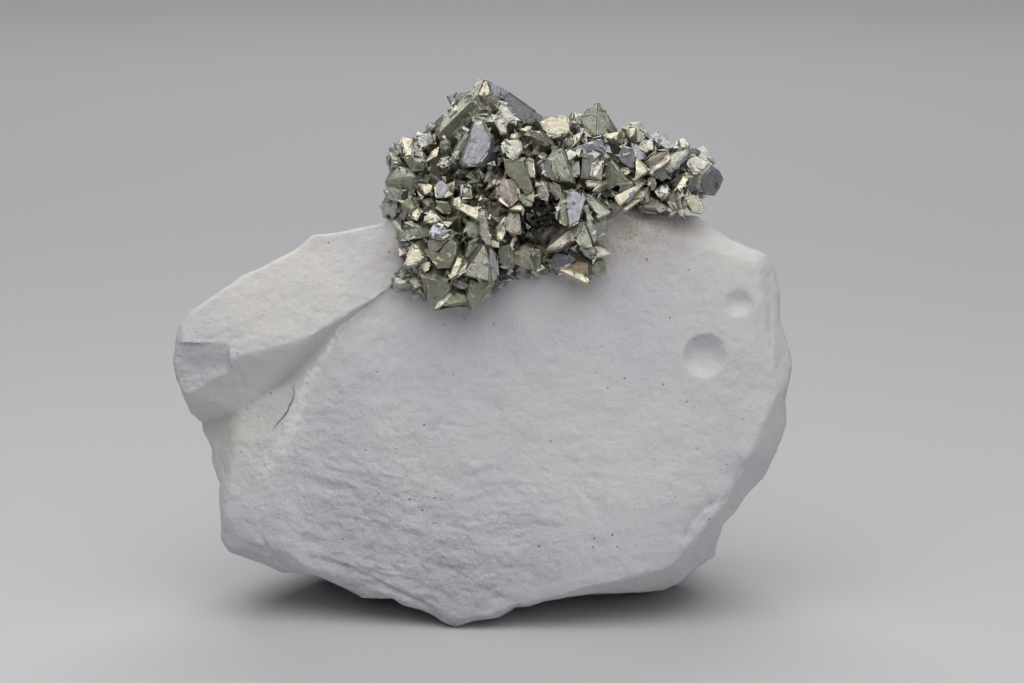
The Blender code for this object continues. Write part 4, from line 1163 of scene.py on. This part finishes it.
class Nodes:
    """Short ways to add and join shader nodes."""

    def __init__(self, name):
        self.material = bpy.data.materials.new(name)
        self.material.use_nodes = True
        self.tree = self.material.node_tree
        self.shader = self.tree.nodes["Principled BSDF"]

    def add(self, kind, inputs=None, **settings):
        node = self.tree.nodes.new(kind)
        for key, value in settings.items():
            setattr(node, key, value)
        for key, value in (inputs or {}).items():
            self.put(node, key, value)
        return node

    def put(self, node, key, value):
        """Set a socket to a number, or join it to another node's socket."""
        if isinstance(value, bpy.types.NodeSocket):
            self.tree.links.new(value, node.inputs[key])
        else:
            node.inputs[key].default_value = value

    def math(self, operation, first, second=0.0):
        node = self.add("ShaderNodeMath", {0: first, 1: second}, operation=operation)
        return node.outputs[0]

    def mix(self, share, first, second):
        """Colour between two colours."""
        node = self.add("ShaderNodeMix", data_type="RGBA")
        self.put(node, "Factor", share)
        for key, value in ((6, first), (7, second)):
            if isinstance(value, bpy.types.NodeSocket):
                self.tree.links.new(value, node.inputs[key])
            else:
                node.inputs[key].default_value = (*value, 1.0)
        return node.outputs[2]

    def noise(self, where, size, detail=3.0, roughness=0.55):
        """Noise whose swells have a size in mm."""
        node = self.add("ShaderNodeTexNoise", {"Vector": where, "Scale": 1.0 / size, "Detail": detail,
                                               "Roughness": roughness})
        return node.outputs["Fac"]

    def span(self, value, low, high, to_low=0.0, to_high=1.0):
        node = self.add("ShaderNodeMapRange", {"Value": value, "From Min": low, "From Max": high,
                                               "To Min": to_low, "To Max": to_high})
        return node.outputs[0]

    def attribute(self, name, output="Fac"):
        return self.add("ShaderNodeAttribute", attribute_name=name).outputs[output]

    def millimetres(self):
        where = self.add("ShaderNodeTexCoord").outputs["Object"]
        scaled = self.add("ShaderNodeVectorMath", {0: where, 1: (1000.0, 1000.0, 1000.0)},
                          operation="MULTIPLY")
        return scaled.outputs[0]

    def bump(self, height, depth, under=None):
        """Bump of a height from 0 to 1 that stands for a depth in mm."""
        inputs = {"Height": height, "Distance": depth * MM, "Strength": 1.0}
        if under is not None:
            inputs["Normal"] = under
        return self.add("ShaderNodeBump", inputs).outputs[0]


def chalk_material():
    m = Nodes("chalk")
    where = m.millimetres()
    warmth_light_and_shade = m.attribute("warmth_light_and_shade")
    uneven = m.span(m.noise(where, 9.0, 4.0), 0.3, 0.7, -0.5, 0.5)
    # warmer and cooler places from the mesh's marks: lighter where they are painted light, bluer and darker
    # where they are painted shade
    tone_light_and_shade = m.math("ADD", warmth_light_and_shade, uneven)
    warm_and_lit = m.mix(m.span(tone_light_and_shade, 0.0, 1.1), (0.60, 0.597, 0.612), (0.68, 0.662, 0.615))
    base = m.mix(m.span(tone_light_and_shade, 0.0, -1.1), warm_and_lit, (0.52, 0.52, 0.575))
    # the deepest painted shade is darkened further
    base = m.mix(m.span(tone_light_and_shade, -1.0, -2.4), base, (0.42, 0.42, 0.47))
    # clouds and powder
    cloudy = m.span(m.noise(where, 2.2, 5.0, 0.6), 0.3, 0.75, 0.0, 1.0)
    base = m.mix(m.math("MULTIPLY", cloudy, 0.35), base, (0.52, 0.515, 0.52))
    powder = m.span(m.noise(where, 0.45, 3.0, 0.7), 0.35, 0.7)
    base = m.mix(m.math("MULTIPLY", powder, 0.22), base, (0.76, 0.75, 0.74))
    # brown from the crystals
    stain = m.math("MULTIPLY", m.attribute("stain"), m.span(m.noise(where, 3.0, 4.0), 0.35, 0.65))
    base = m.mix(m.math("MULTIPLY", stain, 0.6), base, (0.50, 0.43, 0.36))
    # dark specks with ragged rims
    ragged = m.noise(where, 0.5, 2.0, 0.5)
    specks = m.add("ShaderNodeTexVoronoi", {"Vector": where, "Scale": 0.55, "Randomness": 1.0})
    parts = m.add("ShaderNodeSeparateColor", {"Color": specks.outputs["Color"]})
    reach = m.span(parts.outputs[1], 0.0, 1.0, 0.03, 0.13)
    ragged = m.math("MULTIPLY", ragged, 0.09)
    blurred = m.math("SUBTRACT", m.math("ADD", specks.outputs["Distance"], ragged), reach)
    spot = m.span(blurred, 0.035, 0.005)
    spot = m.math("MULTIPLY", spot, m.math("GREATER_THAN", parts.outputs[0], 0.3))
    base = m.mix(m.math("MULTIPLY", spot, 0.75), base, (0.17, 0.15, 0.14))
    # grit beside the crystals, and dust
    grit = m.math("MULTIPLY", m.attribute("stain"), m.span(m.noise(where, 0.45, 4.0, 0.8), 0.50, 0.64))
    base = m.mix(m.math("MULTIPLY", grit, 0.55), base, (0.30, 0.27, 0.235))
    dust = m.span(m.noise(where, 0.55, 2.0, 0.6), 0.70, 0.78)
    base = m.mix(m.math("MULTIPLY", dust, 0.45), base, (0.24, 0.22, 0.22))
    # white crumbs of the crushed rim, and the crack darkened as painted shade
    crumbs = m.span(m.noise(where, 1.3, 3.0), 0.38, 0.58, 0.25, 1.0)
    crushed = m.math("MULTIPLY", m.attribute("crushed"), crumbs)
    base = m.mix(crushed, base, (0.79, 0.78, 0.75))
    base = m.mix(m.math("MULTIPLY", m.attribute("crack"), 0.7), base, (0.14, 0.12, 0.11))
    m.put(m.shader, "Base Color", base)
    m.put(m.shader, "Roughness", m.span(powder, 0.0, 1.0, 0.82, 0.97))
    m.shader.inputs["Specular IOR Level"].default_value = 0.25
    grain = m.bump(m.noise(where, 0.34, 4.0, 0.7), 0.13)
    lumps = m.bump(m.noise(where, 1.2, 5.0, 0.65), 0.16, grain)
    lumps = m.bump(m.math("MULTIPLY", m.noise(where, 0.9, 4.0, 0.6), m.attribute("rough")), 0.36, lumps)
    holes = m.bump(m.math("SUBTRACT", 1.0, spot), 0.08, lumps)
    m.put(m.shader, "Normal", holes)
    return m.material


def marcasite_material():
    m = Nodes("marcasite")
    where = m.millimetres()
    grain = m.attribute("grain", "Vector")
    tint = m.attribute("tint", "Vector")
    frost = m.attribute("frost")
    clouds = m.noise(where, 0.8, 5.0, 0.7)
    dull = m.add("ShaderNodeVectorMath", {0: tint, 1: (0.66, 0.64, 0.61)}, operation="MULTIPLY")
    base = m.mix(m.span(clouds, 0.40, 0.66), tint, dull.outputs[0])
    brassy = m.span(m.noise(where, 2.6, 3.0), 0.55, 0.72, 0.0, 0.3)
    base = m.mix(brassy, base, (0.50, 0.45, 0.30))
    stretched = m.add("ShaderNodeVectorMath", {0: grain, 1: (3.8, 0.6, 2.0)}, operation="MULTIPLY")
    streaks = m.add("ShaderNodeTexNoise", {"Vector": stretched.outputs[0], "Scale": 1.0, "Detail": 4.0,
                                           "Roughness": 0.65}).outputs["Fac"]
    base = m.mix(m.span(streaks, 0.48, 0.66, 0.0, 0.6), base, dull.outputs[0])
    m.put(m.shader, "Base Color", base)
    m.shader.inputs["Metallic"].default_value = 0.85
    rough = m.math("ADD", frost, m.span(clouds, 0.35, 0.7, -0.12, 0.08))
    m.put(m.shader, "Roughness", rough)
    swells = m.bump(m.noise(where, 1.6, 2.0, 0.5), 0.03)
    fine = m.bump(m.noise(where, 0.32, 4.0, 0.75), 0.042, swells)
    lines = m.bump(streaks, 0.13, fine)
    m.put(m.shader, "Normal", lines)
    return m.material


def floor_material():
    m = Nodes("floor")
    m.shader.inputs["Base Color"].default_value = (0.50, 0.50, 0.51, 1.0)
    m.shader.inputs["Roughness"].default_value = 0.7
    return m.material


# The round floor's rings, whose outer ones sweep up: radius and height in metres
FLOOR_RINGS = [(0.4, 0.0), (0.8, 0.0), (1.2, 0.0), (1.5, 0.03), (1.8, 0.12), (2.0, 0.3), (2.1, 0.6)]
FLOOR_SIDES = 64


def stage_floor():
    shape = bmesh.new()
    circles = []
    for radius, height in FLOOR_RINGS:
        circle = []
        for side in range(FLOOR_SIDES):
            turn = 2.0 * math.pi * side / FLOOR_SIDES
            circle.append(shape.verts.new((radius * math.cos(turn), radius * math.sin(turn), height)))
        circles.append(circle)
    shape.faces.new(circles[0])
    for inner, outer in zip(circles, circles[1:]):
        for side in range(FLOOR_SIDES):
            after = (side + 1) % FLOOR_SIDES
            shape.faces.new((inner[side], outer[side], outer[after], inner[after]))
    for face in shape.faces:
        face.smooth = True
    mesh = bpy.data.meshes.new("floor")
    shape.to_mesh(mesh)
    shape.free()
    mesh.materials.append(floor_material())
    floor = new_object("floor", mesh)


# Soft lights: name, place, size, power, colour and what they are aimed at; None is the block's middle
LIGHTS = [
    ("overhead", (-0.03, -0.16, 0.37), (0.55, 0.42), 1.58, (1.0, 0.985, 0.96), None),
    ("fill", (0.08, -1.05, 0.42), (0.9, 0.6), 0.7, (0.96, 0.98, 1.0), None),
    ("side", (0.75, -0.35, 0.2), (0.5, 0.5), 0.85, (0.94, 0.96, 1.0), None),
    ("backdrop", (0.0, 0.75, 1.1), (1.2, 0.5), 9.0, (1.0, 1.0, 1.0), (0.0, 0.9, 0.0)),
]
AMBIENT = (0.155, 0.155, 0.165, 1.0)
LENS = 90.0                    # the camera's focal length for a sensor of SENSOR, mm
SENSOR = 36.0


def place_facing(obj, place, target):
    """Puts a light or a camera at a place, aimed at a target."""
    obj.location = place
    obj.rotation_mode = "QUATERNION"
    obj.rotation_quaternion = (Vector(target) - Vector(place)).to_track_quat("-Z", "Y")


def studio():
    scene = bpy.context.scene
    middle = Vector(MIDDLE) * MM
    camera = new_object("camera", bpy.data.cameras.new("camera"))
    camera.data.sensor_width = SENSOR
    camera.data.lens = LENS
    camera.data.clip_start = 0.01
    lean = math.radians(LEAN)
    back = Vector((0.0, -math.cos(lean), math.sin(lean)))
    place_facing(camera, middle + back * VIEW * MM, middle)
    scene.camera = camera
    for name, place, size, power, colour, target in LIGHTS:
        light = bpy.data.lights.new(name, "AREA")
        light.shape = "RECTANGLE"
        light.size, light.size_y = size
        light.energy = power
        light.color = colour
        place_facing(new_object(name, light), place, target or middle)
    world = bpy.data.worlds.new("studio")
    scene.world = world
    world.use_nodes = True
    world.node_tree.nodes["Background"].inputs["Color"].default_value = AMBIENT
    scene.view_settings.view_transform = "Standard"


chalk = chalk_piece()
chalk.data.materials.append(chalk_material())
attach(chalk, "root")
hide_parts("chalk_matrix")

metal = marcasite_material()
facing_viewer = Druse()
chance = random.Random(FRONT_SEED)
for row in CRYSTALS:
    face_crystal(facing_viewer, row, chance)
fill_front(facing_viewer, random.Random(FILL_SEED))
behind = Druse()
clothe_back(behind, random.Random(BACK_SEED))
for middle, radii in CORES:
    core_mass(behind, middle, radii)
for druse, name in ((facing_viewer, "crystals_front"), (behind, "crystals_back")):
    piece = druse.piece(name)
    piece.data.materials.append(metal)
    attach(piece, "root")
    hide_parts("marcasite_cluster")

stage_floor()
studio()
